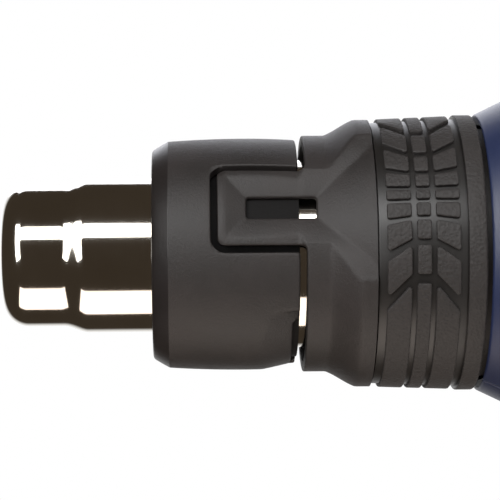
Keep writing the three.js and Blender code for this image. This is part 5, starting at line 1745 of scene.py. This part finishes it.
@dataclass
class Fittings:
    """Housing screws, cable inlet, heel pad, and the heater that shows in the nozzle's mouth."""

    head: float = 2.8
    head_height: float = 2.0
    shank: float = 1.4
    cross: Point2 = (3.6, 0.8)
    inlet_bore: float = 4.2
    inlet_neck: float = 7.4
    inlet_flange: float = 9.6
    inlet_at: float = 30.0
    coils: int = 6
    coil_pitch: float = 13.2
    coil_bore: float = 4.6
    core_radius: float = 20.6
    core_bore: float = 3.0

    def build(self) -> None:
        """Makes the fittings in turn."""
        self.screws()
        self.inlet()
        self.pad()
        self.heater()

    def screws(self) -> None:
        """Pan-head screws with cross recesses, in the right shell's wells."""
        names = [f"housing_screw_{k}" for k in range(1, 7)]
        places = []
        for name in names:
            low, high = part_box(name)
            places.append(Vector(((low.x + high.x) / 2, high.y, (low.z + high.z) / 2)))
        low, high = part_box(names[0])
        length = (high.y - low.y) / MM
        profile = [(0.0, 0.0), (self.head * 0.55, -0.1), (self.head * 0.86, -0.5), (self.head, -1.2),
                   (self.head, -self.head_height), (self.shank, -self.head_height), (self.shank, 2 - length),
                   (0.3, -length), (0.0, -length)]
        screw = finish_mesh("screw", lathe(profile, 32, closed=False), BLACK_STEEL)
        bars = []
        for turn in (0, math.pi / 2):
            bar = bmesh.new()
            bmesh.ops.create_cube(bar, size=1)
            bmesh.ops.scale(bar, vec=(*self.cross, 2.2), verts=bar.verts)
            bars.append(tool("bar", bar, Matrix.Rotation(turn, 4, "Z"), Vector((0, 0, 0))))
        cut_out(screw, bars)
        screw.data.transform(Matrix.Rotation(-math.pi / 2, 4, "X"))
        piece = copies_at(screw, "housing_screws", places, BLACK_STEEL)
        place_piece(piece, "gun", *names)

    def inlet(self) -> None:
        """The grommet in the heel, and the round boss it sits on."""
        turn = Matrix.Translation((-HANDLE.reach, 0, self.inlet_at)) @ Matrix.Rotation(math.pi / 2, 4, "Y")
        profile = soften([(self.inlet_bore, -2.5), (self.inlet_flange, -2.5), (self.inlet_flange, -0.3),
                          (self.inlet_neck, -0.3), (self.inlet_neck, 2.9), (self.inlet_flange, 2.9),
                          (self.inlet_flange, 5.1), (self.inlet_bore, 5.1)],
                         [1.0, 0.9, 0.2, 0, 0, 0.2, 0.4, 0.4], 4)
        grommet = lathe(profile, 64)
        bmesh.ops.transform(grommet, matrix=turn, verts=grommet.verts)
        piece = finish_mesh("inlet_grommet", grommet, GRIP_RUBBER)
        place_piece(piece, "gun", "cable_inlet")
        inner, outer, height = self.inlet_neck + 0.4, 11.6, 2.6
        boss = lathe(soften([(inner, 0), (outer, 0), (outer, height), (inner, height)],
                            [0.3, 0.8, 0.1, 0.1], 4), 64)
        bmesh.ops.transform(boss, matrix=turn, verts=boss.verts)
        piece = finish_mesh("inlet_boss", boss, NAVY_NYLON)
        place_piece(piece, "gun")

    def pad(self) -> None:
        """The rubber pad under the heel."""
        low, high = (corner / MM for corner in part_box("heel_pad"))
        size, middle = high - low, (low + high) / 2
        bm = plate(rectangle(size.x, size.y, 2.0), [], size.z, 0.4, 3)
        bmesh.ops.translate(bm, vec=middle, verts=bm.verts)
        piece = finish_mesh("rubber_heel_pad", bm, TREAD_RUBBER)
        place_piece(piece, "gun", "heel_pad")

    def heater(self) -> None:
        """The ceramic core with its bores, and the wound wires in them."""
        low, high = foot_of("heater_core"), top_of("heater_core")
        holes = [circle_points(self.core_bore, 32)]
        for k in range(self.coils):
            turn = TAU * k / self.coils
            middle = (self.coil_pitch * math.cos(turn), self.coil_pitch * math.sin(turn))
            holes.append(circle_points(self.coil_bore, 40, middle))
        bm = plate(circle_points(self.core_radius, 96), holes, high - low, 0.5, 3)
        bmesh.ops.translate(bm, vec=(0, 0, (low + high) / 2), verts=bm.verts)
        core = finish_mesh("ceramic_core", bm, CORDIERITE)
        place_piece(core, "gun", "heater_core")
        wires = helix_coils("heating_wires", self.coils, self.coil_pitch, self.coil_bore - 0.9, 0.45, 27.0,
                            low + 2, high - 2, NICHROME)
        place_piece(wires, "gun", *[f"heating_coil_{k}" for k in range(1, self.coils + 1)])


# ------------------------------------------------------------------ studio


@dataclass
class Studio:
    """Pale floor, soft lights and the camera, which looks across the lying barrel from its left."""

    azimuth: float = -24.4
    distance: float = 0.525
    focal: float = 153.8
    foot: float = 0.0457
    aim: float = 0.0600
    lift: float = 0.0010
    roll: float = 0.46

    def axes(self) -> tuple[Vector, Vector]:
        """Unit vectors from the barrel to the camera, and to the picture's top."""
        a = math.radians(self.azimuth)
        return Vector((math.sin(a), -math.cos(a), 0)), Vector((math.cos(a), math.sin(a), 0))

    def build(self) -> None:
        """Makes the camera, the lights, the world and the floor."""
        self.camera()
        self.world()
        back, up = self.axes()
        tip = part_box("nozzle_tube")[1][2]
        middle = Vector((0, 0, tip - self.aim))
        self.softbox("key", middle, back, up, 37.0, 1.0, (0.36, 1.1), 8.0, "#ffffff")
        self.softbox("fill", middle, back, up, -76.0, 1.0, (0.80, 1.1), 7.0, "#fff1e6")
        self.softbox("rear", middle, back, up, 150.0, 1.6, (1.0, 1.2), 8.0, "#f4f6ff")
        over = (back * 0.74 + up * 0.34 + Vector((0, 0, 0.60))).normalized()
        self.lamp("over", middle + over * 1.1, middle, (1.1, 0.36), 8.5, "#ffffff")
        self.floor()

    def softbox(self, name: str, middle: Vector, back: Vector, up: Vector, angle: float,
                reach: float, size: Point2, power: float, colour: str) -> None:
        """Adds a tall soft light at an angle round the barrel, measured from the camera's side."""
        a = math.radians(angle)
        self.lamp(name, middle + (back * math.cos(a) + up * math.sin(a)) * reach, middle, size, power, colour)

    def lamp(self, name: str, place: Vector, target: Vector, size: Point2, power: float,
             colour: str) -> None:
        """Adds one rectangular light that faces a target, wide across and tall along Z.

        Args:
            name: The light's name.
            place: Where it stands.
            target: What it faces.
            size: Its width and height in metres.
            power: Its power in watts.
            colour: Its hex colour.
        """
        data = bpy.data.lights.new(name, "AREA")
        data.shape = "RECTANGLE"
        data.size, data.size_y = size
        data.energy = power
        data.color = linear(colour)[:3]
        light = bpy.data.objects.new(name, data)
        light.location = place
        light.rotation_euler = (target - place).to_track_quat("-Z", "Y").to_euler()
        light.visible_camera = False
        bpy.context.scene.collection.objects.link(light)

    def world(self) -> None:
        """White to the camera; a dim room with a white wall behind the gun for reflections."""
        world = bpy.data.worlds.new("studio")
        bpy.context.scene.world = world
        world.use_nodes = True
        tree = world.node_tree
        tree.nodes.clear()
        back, _ = self.axes()
        ray = add_node(tree, "ShaderNodeTexCoord")
        away = add_node(tree, "ShaderNodeVectorMath", {"operation": "DOT_PRODUCT", "in:1": tuple(-back)},
                        {0: ray.outputs["Generated"]})
        wall = add_node(tree, "ShaderNodeMapRange", {"in:From Min": 0.80, "in:From Max": 0.93,
                                                     "in:To Min": 0.0, "in:To Max": 1.0},
                        {"Value": away.outputs["Value"]})
        path = add_node(tree, "ShaderNodeLightPath")
        level = add_node(tree, "ShaderNodeMath", {"operation": "MAXIMUM"},
                         {0: wall.outputs["Result"], 1: path.outputs["Is Camera Ray"]})
        room = add_node(tree, "ShaderNodeMix", {"data_type": "RGBA", "in:6": linear("#40382f"),
                                                "in:7": (1.0, 1.0, 1.0, 1.0)}, {0: level.outputs[0]})
        light = add_node(tree, "ShaderNodeBackground", {"in:Strength": 1.0}, {"Color": room.outputs[2]})
        add_node(tree, "ShaderNodeOutputWorld", {}, {"Surface": light.outputs["Background"]})

    def floor(self) -> None:
        """Adds the pale floor that the gun stands on."""
        bm = bmesh.new()
        bmesh.ops.create_circle(bm, cap_ends=True, segments=96, radius=900.0)
        bmesh.ops.translate(bm, vec=(0, 0, -0.2), verts=bm.verts)
        floor = finish_mesh("floor", bm, FLOOR_PAPER)
        self.fade(floor.data.materials[0].node_tree)

    def fade(self, tree: bpy.types.NodeTree) -> None:
        """Lets the paper's rim fade into the white room."""
        output = next(n for n in tree.nodes if n.type == "OUTPUT_MATERIAL")
        paper = output.inputs["Surface"].links[0].from_socket
        where = add_node(tree, "ShaderNodeTexCoord").outputs["Object"]
        reach = add_node(tree, "ShaderNodeVectorMath", {"operation": "LENGTH"}, {0: where})
        share = add_node(tree, "ShaderNodeMapRange", {"interpolation_type": "SMOOTHSTEP",
                                                      "in:From Min": 0.35, "in:From Max": 0.88},
                         {"Value": reach.outputs["Value"]})
        clear = add_node(tree, "ShaderNodeBsdfTransparent")
        mixed = add_node(tree, "ShaderNodeMixShader", {},
                         {0: share.outputs["Result"], 1: paper, 2: clear.outputs[0]})
        tree.links.new(mixed.outputs[0], output.inputs["Surface"])

    def camera(self) -> None:
        """Adds the camera: Z points to the picture's left, so it is rolled a quarter turn."""
        back, up = self.axes()
        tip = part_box("nozzle_tube")[1][2]
        place = back * self.distance + Vector((0, 0, tip - self.foot))
        target = Vector((0, 0, tip - self.aim)) + up * self.lift
        depth = (place - target).normalized()
        right = Vector((0, 0, -1))
        right = (right - depth * right.dot(depth)).normalized()
        top = depth.cross(right)
        basis = Matrix((right, top, depth)).transposed()
        basis = basis @ Matrix.Rotation(math.radians(-self.roll), 3, "Z")
        data = bpy.data.cameras.new("camera")
        data.lens, data.sensor_width = self.focal, 36.0
        data.clip_start, data.clip_end = 0.02, 20.0
        camera = bpy.data.objects.new("camera", data)
        camera.matrix_world = Matrix.Translation(place) @ basis.to_4x4()
        bpy.context.scene.collection.objects.link(camera)
        bpy.context.scene.camera = camera


def dress_frame() -> None:
    """Gives every CAD node that stays in view its finish."""
    slots = {row["node"]: row["material_slot"] for row in frame["record"]["subparts"]}
    for node, piece in frame["nodes"].items():
        finish = SLOT_FINISHES[slots[node]]
        for holder in piece if isinstance(piece, (list, tuple)) else [piece]:
            if not holder.material_slots:
                continue
            for material_slot in holder.material_slots:
                material_slot.material = PALETTE.get(finish)


def main() -> None:
    """Builds the studio and the gun, sub-assembly by sub-assembly."""
    logging.basicConfig(level=logging.INFO, format="%(name)s %(message)s")
    bpy.context.scene.view_settings.view_transform = "Standard"
    Studio().build()
    dress_frame()
    for part in (Nozzle(), COLLAR, NECK, TreadRing(), Housing(), RearCap(), Controls(),
                 Fittings()):
        part.build()
        LOG.info("%s done", type(part).__name__)


if __name__ == "__main__":
    main()
